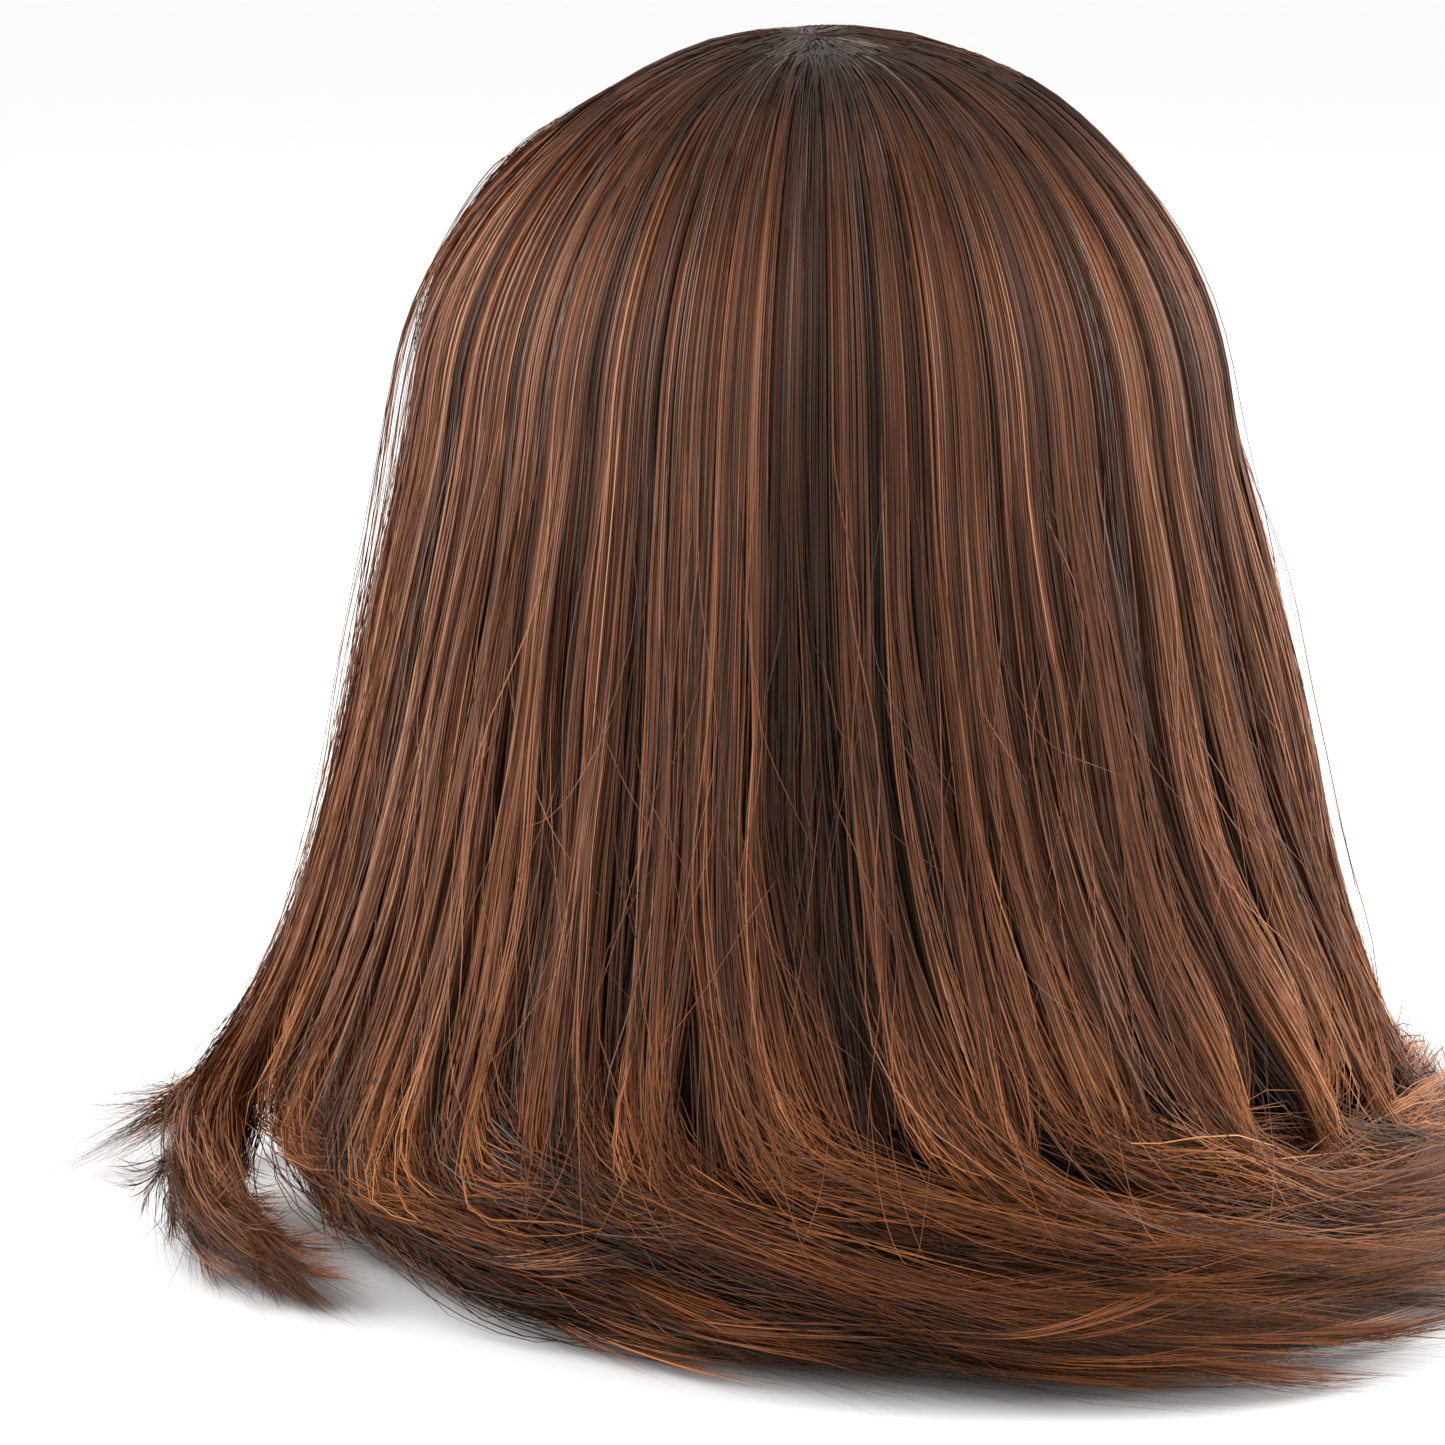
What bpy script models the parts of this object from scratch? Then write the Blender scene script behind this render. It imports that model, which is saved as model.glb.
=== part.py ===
"""Mannequin training head with long straight hair, standing on the flat base of its neck.

Metres, +Z up. The face looks along -Y and the head's left is +X. The origin is on the ground plane,
on the axis of the neck's clamp socket. An azimuth is measured round +Z from the face, so 0 is the
face, a quarter turn is the head's left and half a turn is the back of the head.
"""

import math

import bpy
import numpy as np

# Driving dimensions.
SKULL_CENTRE_Z = 0.178  # height of the widest part of the skull
SKIN_HALF_X = 0.074
SKIN_HALF_Y = 0.090
SKIN_HALF_Z = 0.079
SKIN_WALL = 0.0042
HAIR_HALF_X = 0.088  # outside of the hair over the skull
HAIR_HALF_Y = 0.104
HAIR_HALF_Z = 0.088
HAIR_THICK_TOP = 0.0055
HAIR_THICK_SIDE = 0.0075
HAIR_THICK_GROUND = 0.0085
BELL_SLOPE = 0.20  # how far the hair stands out per metre that it falls
FLARE_REACH = 0.016  # extra spread where the hair meets the ground
FLARE_FALL = 0.018
HEAD_COLUMNS = 36
FACE_CROWDING = 0.62  # 0 spaces the columns evenly round the head, and more draws them to the face
HEAD_RINGS_BELOW = 24
HEAD_RINGS_ABOVE = 6
GAP = 0.0006  # between neighbouring pieces
HAIR_GAP = 0.0012  # between neighbouring hair sections

FRINGE_PLANE_Y = -0.070  # the fringe is the hair in front of this plane
FRINGE_HALF_WIDTH = 0.056
FRINGE_END_Z = 0.1785
TEMPLE_AZIMUTH = 46.0

SOCKET_BORE_R = 0.0125
SOCKET_WALL = 0.0030
SOCKET_DEPTH = 0.070
FLANGE_R = 0.036
FLANGE_THICK = 0.0075
DISC_THICK = 0.0045
SCREW_COUNT = 4
SCREW_CIRCLE_R = 0.029
SCREW_R = 0.0018
SCREW_HEAD_R = 0.0036
SCREW_LENGTH = 0.0105
SCREW_RECESS = 0.0008

EYE_X = 0.0310
EYE_Z = 0.1520
EYE_HALF = (0.0135, 0.0034, 0.0070)
LASH_R = 0.0005

LOCK_RING_R = 0.1600  # middle of the ring of hair that lies on the ground
LOCK_HALF_WIDTH = 0.0125
LOCK_HALF_HEIGHT = 0.0095

SKIN = (0.80, 0.56, 0.44)
FOAM = (0.86, 0.80, 0.62)
BINDER = (0.55, 0.38, 0.30)
BLACK_PLASTIC = (0.03, 0.03, 0.032)
STEEL = (0.62, 0.62, 0.64)
EYE_WHITE = (0.88, 0.86, 0.83)
LASH_BLACK = (0.02, 0.015, 0.012)
HAIR_DARK = (0.070, 0.030, 0.018)
HAIR_MID = (0.110, 0.050, 0.028)
HAIR_COPPER = (0.190, 0.080, 0.038)

# The head below its widest part: height, half width, front and back, from the neck's rim upwards.
LOWER_HEAD = (
    (0.000, 0.0580, -0.0480, 0.0680),
    (0.006, 0.0575, -0.0475, 0.0675),
    (0.020, 0.0520, -0.0430, 0.0630),
    (0.036, 0.0500, -0.0480, 0.0605),
    (0.046, 0.0500, -0.0800, 0.0610),
    (0.060, 0.0540, -0.0870, 0.0630),
    (0.080, 0.0610, -0.0885, 0.0680),
    (0.105, 0.0670, -0.0890, 0.0770),
    (0.135, 0.0710, -0.0890, 0.0860),
    (SKULL_CENTRE_Z, SKIN_HALF_X, -SKIN_HALF_Y, SKIN_HALF_Y),
)
# Swellings of the face and ears: azimuth, height, angular spread, vertical spread, how far out.
FACE_FORMS = (
    (0.0, 0.118, 6.5, 0.0075, 0.0200),  # tip of the nose
    (0.0, 0.135, 5.0, 0.0130, 0.0100),  # bridge of the nose
    (0.0, 0.088, 13.0, 0.0055, 0.0045),  # upper lip
    (0.0, 0.078, 11.0, 0.0050, 0.0050),  # lower lip
    (0.0, 0.056, 12.0, 0.0080, 0.0040),  # chin
    (21.0, EYE_Z, 9.0, 0.0090, -0.0070),  # eye hollows
    (-21.0, EYE_Z, 9.0, 0.0090, -0.0070),
    (42.0, 0.122, 12.0, 0.0150, 0.0030),  # cheeks
    (-42.0, 0.122, 12.0, 0.0150, 0.0030),
    (98.0, 0.142, 7.0, 0.0190, 0.0050),  # ears
    (-98.0, 0.142, 7.0, 0.0190, 0.0050),
)

# Hair sections that fall from the crown to the ground: name, first and last azimuth, tone.
DRAPE_SECTIONS = (
    ("hair_temple_left", 46, 72, HAIR_COPPER),
    ("hair_side_left", 72, 104, HAIR_COPPER),
    ("hair_back_outer_left", 104, 134, HAIR_MID),
    ("hair_back_inner_left", 134, 165, HAIR_DARK),
    ("hair_back_centre", 165, 195, HAIR_DARK),
    ("hair_back_inner_right", 195, 226, HAIR_MID),
    ("hair_back_outer_right", 226, 256, HAIR_COPPER),
    ("hair_side_right", 256, 288, HAIR_MID),
    ("hair_temple_right", 288, 314, HAIR_MID),
)
NAPE_SECTIONS = (
    ("hair_nape_left", 112, 155, HAIR_DARK),
    ("hair_nape_centre", 155, 205, HAIR_DARK),
    ("hair_nape_right", 205, 248, HAIR_DARK),
)
# Locks that lie on the ground, each swept round the head from its first azimuth to its last.
LOCK_SECTIONS = (
    ("lock_front_left", 22, 58, HAIR_MID),
    ("lock_left_fold", 61, 98, HAIR_DARK),
    ("lock_back_left", 101, 140, HAIR_MID),
    ("lock_back_centre", 143, 181, HAIR_DARK),
    ("lock_back_right", 184, 220, HAIR_MID),
    ("lock_right_tail", 223, 262, HAIR_COPPER),
    ("lock_side_right", 265, 300, HAIR_MID),
    ("lock_front_right", 303, 340, HAIR_MID),
    ("lock_front_centre", 343, 379, HAIR_MID),
)


def clear_scene():
    for found in list(bpy.data.objects):
        bpy.data.objects.remove(found, do_unlink=True)


def material(name, colour, roughness, metallic=0.0):
    made = bpy.data.materials.new(name)
    made.use_nodes = True
    shader = made.node_tree.nodes["Principled BSDF"]
    shader.inputs["Base Color"].default_value = (*colour, 1.0)
    shader.inputs["Roughness"].default_value = roughness
    shader.inputs["Metallic"].default_value = metallic
    return made


def add_object(name, data, parent, look):
    made = bpy.data.objects.new(name, data)
    bpy.context.scene.collection.objects.link(made)
    made.parent = parent
    data.materials.append(look)
    return made


def mesh_object(name, points, faces, parent, look, sharp_degrees=40.0):
    mesh = bpy.data.meshes.new(name)
    mesh.from_pydata([tuple(float(c) for c in p) for p in points], [], faces)
    mesh.shade_smooth()
    mesh.set_sharp_from_angle(angle=math.radians(sharp_degrees))
    return add_object(name, mesh, parent, look)


def ellipse_radius(azimuth, half_x, half_y):
    """Distance from the axis to an ellipse in the direction of an azimuth."""
    return 1.0 / math.hypot(math.sin(azimuth) / half_x, math.cos(azimuth) / half_y)


def polar(azimuth, radius, z):
    return (radius * math.sin(azimuth), -radius * math.cos(azimuth), z)


def bridge_grids(outer, inner, closed_round):
    """Points and faces of the solid between two grids, whose last axis runs round the head."""
    rings, columns = outer.shape[:2]
    points = np.concatenate([outer.reshape(-1, 3), inner.reshape(-1, 3)])
    faces = []
    spans = columns if closed_round else columns - 1

    def at(side, ring, column):
        return side * rings * columns + ring * columns + column % columns

    for ring in range(rings - 1):
        for column in range(spans):
            a, b = at(0, ring, column), at(0, ring, column + 1)
            c, d = at(0, ring + 1, column + 1), at(0, ring + 1, column)
            faces.append((a, b, c, d))
            a, b = at(1, ring, column), at(1, ring, column + 1)
            c, d = at(1, ring + 1, column + 1), at(1, ring + 1, column)
            faces.append((d, c, b, a))
    last = rings - 1
    for column in range(spans):
        faces.append((at(0, 0, column + 1), at(0, 0, column), at(1, 0, column), at(1, 0, column + 1)))
        a, b = at(0, last, column), at(0, last, column + 1)
        c, d = at(1, last, column + 1), at(1, last, column)
        faces.append((a, b, c, d))
    if not closed_round:
        for ring in range(rings - 1):
            faces.append((at(0, ring, 0), at(0, ring + 1, 0), at(1, ring + 1, 0), at(1, ring, 0)))
            end = columns - 1
            faces.append((at(0, ring + 1, end), at(0, ring, end), at(1, ring, end), at(1, ring + 1, end)))
    return points, faces


# The head.


def lower_outline(z):
    """Half width, front and back of the head at a height below its widest part."""
    heights, widths, fronts, backs = zip(*LOWER_HEAD)
    return (
        float(np.interp(z, heights, widths)),
        float(np.interp(z, heights, fronts)),
        float(np.interp(z, heights, backs)),
    )


def head_azimuths():
    """Azimuths of the head's columns, closer together on the face than on the back of the head."""
    for i in range(HEAD_COLUMNS):
        turn = math.tau * i / HEAD_COLUMNS
        yield turn - FACE_CROWDING * math.sin(turn)


def head_ring(z, azimuths, inset):
    """One level ring of the head, moved inwards by an inset. The inside follows only the face's hollows."""
    if z < SKULL_CENTRE_Z:
        half_x, front, back = lower_outline(z)
    else:
        up = min((z - SKULL_CENTRE_Z) / (SKIN_HALF_Z - inset), 1.0)
        shrink = math.sqrt(max(1.0 - up * up, 0.0))
        half_x = (SKIN_HALF_X - inset) * shrink + inset
        back = (SKIN_HALF_Y - inset) * shrink + inset
        front = -back
    middle = (front + back) / 2
    ring = []
    for azimuth in azimuths:
        radius = ellipse_radius(azimuth, half_x, (back - front) / 2) - inset
        for where, height, spread, rise, out in FACE_FORMS:
            if inset == 0.0 or out < 0.0:
                off = (math.degrees(azimuth) - where + 180.0) % 360.0 - 180.0
                radius += out * math.exp(-((off / spread) ** 2) - ((z - height) / rise) ** 2)
        x, y, _ = polar(azimuth, radius, z)
        ring.append((x, y + middle, z))
    return ring


def head_grid(lowest, inset):
    """Rings from a lowest height to the crown. The last ring is a small one, which a cap closes."""
    azimuths = list(head_azimuths())
    levels = [lowest]
    for i in range(1, HEAD_RINGS_BELOW):
        z = SKULL_CENTRE_Z * i / HEAD_RINGS_BELOW
        if z > lowest + 0.002:
            levels.append(z)
    for i in range(HEAD_RINGS_ABOVE):
        angle = math.radians(86.0) * i / (HEAD_RINGS_ABOVE - 1)
        z = SKULL_CENTRE_Z + (SKIN_HALF_Z - inset) * math.sin(angle)
        if z > lowest + 0.002:
            levels.append(z)
    return np.array([head_ring(z, azimuths, inset) for z in levels])


def closed_dome(grid, bottom_centre):
    """A solid with the side of a grid, a cap on top and a flat bottom."""
    rings, columns = grid.shape[:2]
    points = [tuple(p) for p in grid.reshape(-1, 3)]
    faces = []
    for ring in range(rings - 1):
        for column in range(columns):
            a = ring * columns + column
            b = ring * columns + (column + 1) % columns
            faces.append((a, b, b + columns, a + columns))
    top = len(points)
    points.append((0.0, float(grid[-1, :, 1].mean()), float(grid[-1, 0, 2]) + 0.0002))
    bottom = len(points)
    points.append(bottom_centre)
    start = (rings - 1) * columns
    for column in range(columns):
        following = (column + 1) % columns
        faces.append((start + column, start + following, top))
        faces.append((following, column, bottom))
    return points, faces


def capped_shell(outer, inner):
    """A shell between two domes that is open at the bottom only."""
    rings, columns = outer.shape[:2]
    points, faces = bridge_grids(outer, inner, closed_round=True)
    points = [tuple(p) for p in points]
    inner_start = rings * columns
    ends = [(rings - 1) * columns, inner_start + (inner.shape[0] - 1) * columns]
    rim = {frozenset(range(ends[0], ends[0] + columns)), frozenset(range(ends[1], ends[1] + columns))}
    upper = set().union(*rim)
    faces = [f for f in faces if not set(f) <= upper]
    for end, grid, outwards in ((ends[0], outer, True), (ends[1], inner, False)):
        top = len(points)
        points.append((0.0, float(grid[-1, :, 1].mean()), float(grid[-1, 0, 2]) + 0.0002))
        for column in range(columns):
            pair = (end + column, end + (column + 1) % columns)
            faces.append((*pair, top) if outwards else (pair[1], pair[0], top))
    return points, faces


def eye_cutter(name, side, grow):
    """A lens-shaped solid in the eye's place, facing forwards and a little outwards."""
    bpy.ops.mesh.primitive_uv_sphere_add(segments=16, ring_count=8, radius=1.0)
    made = bpy.context.active_object
    made.name = name
    made.scale = tuple(h + grow for h in EYE_HALF)
    made.rotation_euler = (0.0, 0.0, math.radians(side * 19.0))
    made.location = (side * EYE_X, -0.0752, EYE_Z)
    return made


def make_head_skin(parent):
    look = material("skin", SKIN, 0.5)
    outer = head_grid(0.0, 0.0)
    inner = head_grid(0.0, SKIN_WALL)
    points, faces = capped_shell(outer, inner)
    skin = mesh_object("head_skin", points, faces, parent, look)
    for side, word in ((1, "left"), (-1, "right")):
        cutter = eye_cutter(f"eye_pocket_{word}", side, 0.0004)
        cutter.parent = parent
        cutter.hide_render = True
        cutter.display_type = "WIRE"
        cut = skin.modifiers.new(f"pocket_{word}", "BOOLEAN")
        cut.operation = "DIFFERENCE"
        cut.object = cutter
    return skin


def make_root_binder(parent):
    """The layer of adhesive inside the scalp that holds the roots of the hair."""
    look = material("root_binder", BINDER, 0.6)
    outer = head_grid(SKULL_CENTRE_Z + 0.004, SKIN_WALL + 0.0006)
    inner = head_grid(SKULL_CENTRE_Z + 0.004, SKIN_WALL + 0.0020)
    points, faces = capped_shell(outer, inner)
    mesh_object("root_binder", points, faces, parent, look)


def make_foam_core(parent):
    look = material("foam", FOAM, 0.95)
    lowest = DISC_THICK + FLANGE_THICK + 2 * GAP
    grid = head_grid(lowest, SKIN_WALL + 0.0030)
    points, faces = closed_dome(grid, (0.0, 0.010, lowest))
    core = mesh_object("foam_core", points, faces, parent, look)
    hole = turned("foam_hole", ((0.0, -0.01), (SOCKET_BORE_R + SOCKET_WALL + GAP, -0.01),
                                (SOCKET_BORE_R + SOCKET_WALL + GAP, SOCKET_DEPTH + SOCKET_WALL + GAP),
                                (0.0, SOCKET_DEPTH + SOCKET_WALL + GAP)), 24, parent, look)
    hole.hide_render = True
    hole.display_type = "WIRE"
    cut = core.modifiers.new("socket_hole", "BOOLEAN")
    cut.operation = "DIFFERENCE"
    cut.object = hole


def turned(name, profile, sides, parent, look, centre=(0.0, 0.0)):
    """A solid of revolution about a vertical axis, from a profile that starts and ends on the axis."""
    points = [(centre[0], centre[1], profile[0][1]), (centre[0], centre[1], profile[-1][1])]
    rings = profile[1:-1]
    for radius, z in rings:
        for side in range(sides):
            angle = math.tau * side / sides
            points.append((centre[0] + radius * math.cos(angle), centre[1] + radius * math.sin(angle), z))
    faces = []
    for side in range(sides):
        here, following = 2 + side, 2 + (side + 1) % sides
        faces.append((0, following, here))
        for _ in rings[1:]:
            faces.append((here, following, following + sides, here + sides))
            here, following = here + sides, following + sides
        faces.append((here, following, 1))
    return mesh_object(name, points, faces, parent, look)


def make_neck_socket(parent):
    """A blind tube that takes a clamp's post, with a flange that the base disc screws to."""
    look = material("socket_plastic", BLACK_PLASTIC, 0.45)
    outer_r = SOCKET_BORE_R + SOCKET_WALL
    low = DISC_THICK + GAP
    profile = (
        (0.0, SOCKET_DEPTH),
        (SOCKET_BORE_R, SOCKET_DEPTH),
        (SOCKET_BORE_R, 0.0005),
        (outer_r, 0.0005),
        (outer_r, low),
        (FLANGE_R, low),
        (FLANGE_R, low + FLANGE_THICK),
        (outer_r, low + FLANGE_THICK),
        (outer_r, SOCKET_DEPTH + SOCKET_WALL),
        (0.0, SOCKET_DEPTH + SOCKET_WALL),
    )
    socket = turned("neck_socket", profile, 32, parent, look)
    for index, (x, y) in enumerate(screw_places()):
        hole_top = SCREW_RECESS + SCREW_LENGTH + GAP
        drill(socket, f"flange_hole_{index}", x, y, low - 0.002, hole_top, parent, look)


def screw_places():
    for index in range(SCREW_COUNT):
        angle = math.tau * (index + 0.5) / SCREW_COUNT
        yield SCREW_CIRCLE_R * math.cos(angle), SCREW_CIRCLE_R * math.sin(angle)


def drill(target, name, x, y, low, high, parent, look, cone=False):
    """Cuts a screw's hole, with a countersink in the ground face if cone is set."""
    radius = SCREW_R + 0.0003
    profile = [(0.0, low), (radius, low), (radius, high), (0.0, high)]
    if cone:
        mouth = SCREW_HEAD_R + 0.0003
        profile[1:2] = [(mouth, low), (mouth, SCREW_RECESS), (radius, 0.0034)]
    cutter = turned(name, profile, 12, parent, look, centre=(x, y))
    cutter.hide_render = True
    cutter.display_type = "WIRE"
    cut = target.modifiers.new(name, "BOOLEAN")
    cut.operation = "DIFFERENCE"
    cut.object = cutter


def make_base_disc(parent):
    """The disc that closes the neck, inside the skin's rim and round the socket."""
    look = material("base_plastic", BLACK_PLASTIC, 0.6)
    azimuths = list(head_azimuths())
    hole_r = SOCKET_BORE_R + SOCKET_WALL + GAP

    def rim(z):
        return head_ring(z, azimuths, SKIN_WALL + 0.0009)

    def hole(z):
        return [polar(azimuth, hole_r, z) for azimuth in azimuths]

    outer = np.array([rim(0.0), rim(DISC_THICK)])
    inner = np.array([hole(0.0), hole(DISC_THICK)])
    points, faces = bridge_grids(outer, inner, closed_round=True)
    disc = mesh_object("base_disc", points, faces, parent, look)
    for index, (x, y) in enumerate(screw_places()):
        drill(disc, f"disc_hole_{index}", x, y, -0.002, 0.008, parent, look, cone=True)


def make_screws(parent):
    look = material("steel", STEEL, 0.3, 1.0)
    for index, (x, y) in enumerate(screw_places()):
        top = SCREW_RECESS + SCREW_LENGTH
        profile = (
            (0.0, SCREW_RECESS),
            (SCREW_HEAD_R, SCREW_RECESS),
            (SCREW_HEAD_R, SCREW_RECESS + 0.0003),
            (SCREW_R, 0.0033),
            (SCREW_R, top - 0.0025),
            (0.0004, top),
            (0.0, top),
        )
        turned(f"base_screw_{index + 1}", profile, 12, parent, look, centre=(x, y))


def make_eyes(parent):
    look = material("eye", EYE_WHITE, 0.15)
    for side, word in ((1, "left"), (-1, "right")):
        eye = eye_cutter(f"eye_{word}", side, 0.0)
        eye.parent = parent
        eye.data.materials.append(look)
        eye.data.shade_smooth()


def make_lashes(parent):
    look = material("lash", LASH_BLACK, 0.7)
    for side, word in ((1, "left"), (-1, "right")):
        curve = bpy.data.curves.new(f"eyelash_{word}", "CURVE")
        curve.dimensions = "3D"
        curve.bevel_depth = LASH_R
        curve.bevel_resolution = 1
        curve.use_fill_caps = True
        spline = curve.splines.new("POLY")
        steps = 9
        spline.points.add(steps - 1)
        for i in range(steps):
            along = -1.0 + 2.0 * i / (steps - 1)
            x = EYE_X + along * 0.0125
            y = -0.0892 + 0.0050 * along + 0.0035 * along * along
            z = EYE_Z + 0.0075 - 0.0035 * along * along
            spline.points[i].co = (side * x, y, z, 1.0)
        add_object(f"eyelash_{word}", curve, parent, look)


# The hair.


def hair_profile(azimuth, count_over, count_down, first_degrees, last_z):
    """Outside of the falling hair at one azimuth: radius and height, from the crown to the ground."""
    reach = ellipse_radius(azimuth, HAIR_HALF_X, HAIR_HALF_Y)
    outline = []
    for i in range(count_over):
        tilt = math.radians(first_degrees + (90.0 - first_degrees) * i / count_over)
        outline.append((reach * math.sin(tilt), SKULL_CENTRE_Z + HAIR_HALF_Z * math.cos(tilt)))
    for i in range(count_down):
        share = i / (count_down - 1)
        z = SKULL_CENTRE_Z + (last_z - SKULL_CENTRE_Z) * (1.0 - (1.0 - share) ** 1.3)
        outline.append((reach + bell_spread(z), z))
    return np.array(outline)


def bell_spread(z):
    return BELL_SLOPE * (SKULL_CENTRE_Z - z) + FLARE_REACH * math.exp(-z / FLARE_FALL)


def inward_offset(outline, thickness):
    """The outline moved towards the head, square to its own direction."""
    along = np.gradient(outline, axis=0)
    along /= np.linalg.norm(along, axis=1)[:, None]
    inward = np.stack([along[:, 1], -along[:, 0]], axis=1)
    moved = outline + inward * thickness[:, None]
    moved[:, 1] = np.maximum(moved[:, 1], 0.0008)
    return moved


def make_drape_section(name, first, last, tone, parent):
    look = material(name, tone, 0.45)
    trim = math.degrees(HAIR_GAP / HAIR_HALF_X) / 2
    azimuths = np.radians(np.linspace(first + trim, last - trim, 5))
    outer, inner = [], []
    for azimuth in azimuths:
        outline = hair_profile(azimuth, 6, 8, 8.0, 0.0095)
        depths = (HAIR_THICK_GROUND, HAIR_THICK_SIDE, HAIR_THICK_TOP)
        thickness = np.interp(outline[:, 1], (0.0, SKULL_CENTRE_Z, SKULL_CENTRE_Z + HAIR_HALF_Z), depths)
        inside = inward_offset(outline, thickness)
        outer.append([polar(azimuth, r, z) for r, z in outline])
        inner.append([polar(azimuth, r, z) for r, z in inside])
    outer = np.array(outer).transpose(1, 0, 2)[::-1]
    inner = np.array(inner).transpose(1, 0, 2)[::-1]
    points, faces = bridge_grids(outer, inner, closed_round=False)
    mesh_object(name, points, faces, parent, look)


def make_nape_section(name, first, last, tone, parent):
    """Hair from the nape, between the neck and the hair that falls from the crown."""
    look = material(name, tone, 0.5)
    azimuths = np.radians(np.linspace(first + 1, last - 1, 5))
    heights = (0.0025, 0.016, 0.034, 0.055, 0.078)
    outer, inner = [], []
    for z in heights:
        reach = 0.019 + 0.012 * (1.0 - z / 0.078)
        outer.append([nape_point(azimuth, reach, z) for azimuth in azimuths])
        inner.append([nape_point(azimuth, reach - 0.006, z) for azimuth in azimuths])
    points, faces = bridge_grids(np.array(outer), np.array(inner), closed_round=False)
    mesh_object(name, points, faces, parent, look)


def nape_point(azimuth, reach, z):
    x, y, _ = polar(azimuth, ellipse_radius(azimuth, 0.058, 0.062) + reach, z)
    return (x, y + 0.010, z)


def on_hair(tilt, azimuth, depth):
    """A point over the skull at an angle from the vertical, a depth inside the hair's outside."""
    reach = ellipse_radius(azimuth, HAIR_HALF_X - depth, HAIR_HALF_Y - depth)
    return polar(azimuth, reach * math.sin(tilt), SKULL_CENTRE_Z + (HAIR_HALF_Z - depth) * math.cos(tilt))


def make_top_section(name, first, last, tone, parent):
    """Hair from the crown forwards to the fringe's plane."""
    look = material(name, tone, 0.45)
    azimuths = np.radians(np.linspace(first, last, 7))
    outer, inner = [], []
    for azimuth in azimuths:
        for depth, grid in ((0.0, outer), (HAIR_THICK_TOP, inner)):
            reach = ellipse_radius(azimuth, HAIR_HALF_X - depth, HAIR_HALF_Y - depth) * math.cos(azimuth)
            most = min((-FRINGE_PLANE_Y - HAIR_GAP / 2) / reach, math.sin(math.radians(84.0)))
            tilts = np.linspace(math.radians(8.0), math.asin(most), 7)
            grid.append([on_hair(tilt, azimuth, depth) for tilt in tilts])
    outer = np.array(outer).transpose(1, 0, 2)[::-1]
    inner = np.array(inner).transpose(1, 0, 2)[::-1]
    points, faces = bridge_grids(outer, inner, closed_round=False)
    mesh_object(name, points, faces, parent, look)


def fringe_point(x, share, depth):
    """A point of the fringe, from its end (share 0) up to the plane where it starts (share 1)."""
    half_x, half_y, half_z = HAIR_HALF_X - depth, HAIR_HALF_Y - depth, HAIR_HALF_Z - depth
    start = FRINGE_PLANE_Y - HAIR_GAP / 2
    room = 1.0 - (x / half_x) ** 2
    top = half_z * math.sqrt(room - (start / half_y) ** 2)
    low = FRINGE_END_Z - SKULL_CENTRE_Z
    rise = low + (top - low) * share
    y = -half_y * math.sqrt(max(room - (rise / half_z) ** 2, 0.0))
    return (x, min(y, start), SKULL_CENTRE_Z + rise)


def make_fringe(hinge):
    look = material("hair_fringe", HAIR_COPPER, 0.45)
    columns = np.linspace(-FRINGE_HALF_WIDTH, FRINGE_HALF_WIDTH, 11)
    shares = np.linspace(0.0, 1.0, 7)
    outer = np.array([[fringe_point(x, share, 0.0) for x in columns] for share in shares])
    inner = np.array([[fringe_point(x, share, 0.0060) for x in columns] for share in shares])
    offset = np.array(hinge.location)
    points, faces = bridge_grids(outer - offset, inner - offset, closed_round=False)
    mesh_object("hair_fringe", points, faces, hinge, look)


def make_lock(name, first, last, tone, parent):
    """A tapering lock on the ground, swept along an arc round the head."""
    look = material(name, tone, 0.5)
    sides, steps = 8, 9
    points, faces = [], []
    for step in range(steps):
        share = step / (steps - 1)
        azimuth = math.radians(first + (last - first) * share)
        fullness = 1.0 - 0.62 * share ** 1.6
        half_width = LOCK_HALF_WIDTH * fullness
        half_height = LOCK_HALF_HEIGHT * fullness
        radius = LOCK_RING_R + (LOCK_HALF_WIDTH - half_width) * 0.9
        for side in range(sides):
            angle = math.tau * (side + 0.5) / sides
            r = radius + half_width * math.cos(angle)
            z = max(half_height * (1.0 + math.sin(angle) / math.sin(math.radians(67.5))), 0.0) + 0.0006
            points.append(polar(azimuth, r, z))
    for step in range(steps - 1):
        for side in range(sides):
            following = (side + 1) % sides
            a, b = step * sides + side, step * sides + following
            faces.append((a, a + sides, b + sides, b))
    faces.append(tuple(range(sides)))
    faces.append(tuple(reversed(range((steps - 1) * sides, steps * sides))))
    mesh_object(name, points, faces, parent, look)


def main():
    clear_scene()
    head = bpy.data.objects.new("head_frame", None)
    bpy.context.scene.collection.objects.link(head)
    hinge = bpy.data.objects.new("fringe_hinge", None)
    bpy.context.scene.collection.objects.link(hinge)
    hinge.parent = head
    hinge.location = fringe_point(0.0, 1.0, 0.0)
    bpy.context.view_layer.update()

    make_head_skin(head)
    make_root_binder(head)
    make_foam_core(head)
    make_neck_socket(head)
    make_base_disc(head)
    make_screws(head)
    make_eyes(head)
    make_lashes(head)
    make_top_section("hair_top_left", 0.6, TEMPLE_AZIMUTH - 0.6, HAIR_COPPER, head)
    make_top_section("hair_top_right", 0.6 - TEMPLE_AZIMUTH, -0.6, HAIR_MID, head)
    make_fringe(hinge)
    for section in DRAPE_SECTIONS:
        make_drape_section(*section, head)
    for section in NAPE_SECTIONS:
        make_nape_section(*section, head)
    for section in LOCK_SECTIONS:
        make_lock(*section, head)


main()
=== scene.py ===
"""Looks of the mannequin training head: hair made strand by strand, moulded skin, eyes and base."""

import math

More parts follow.
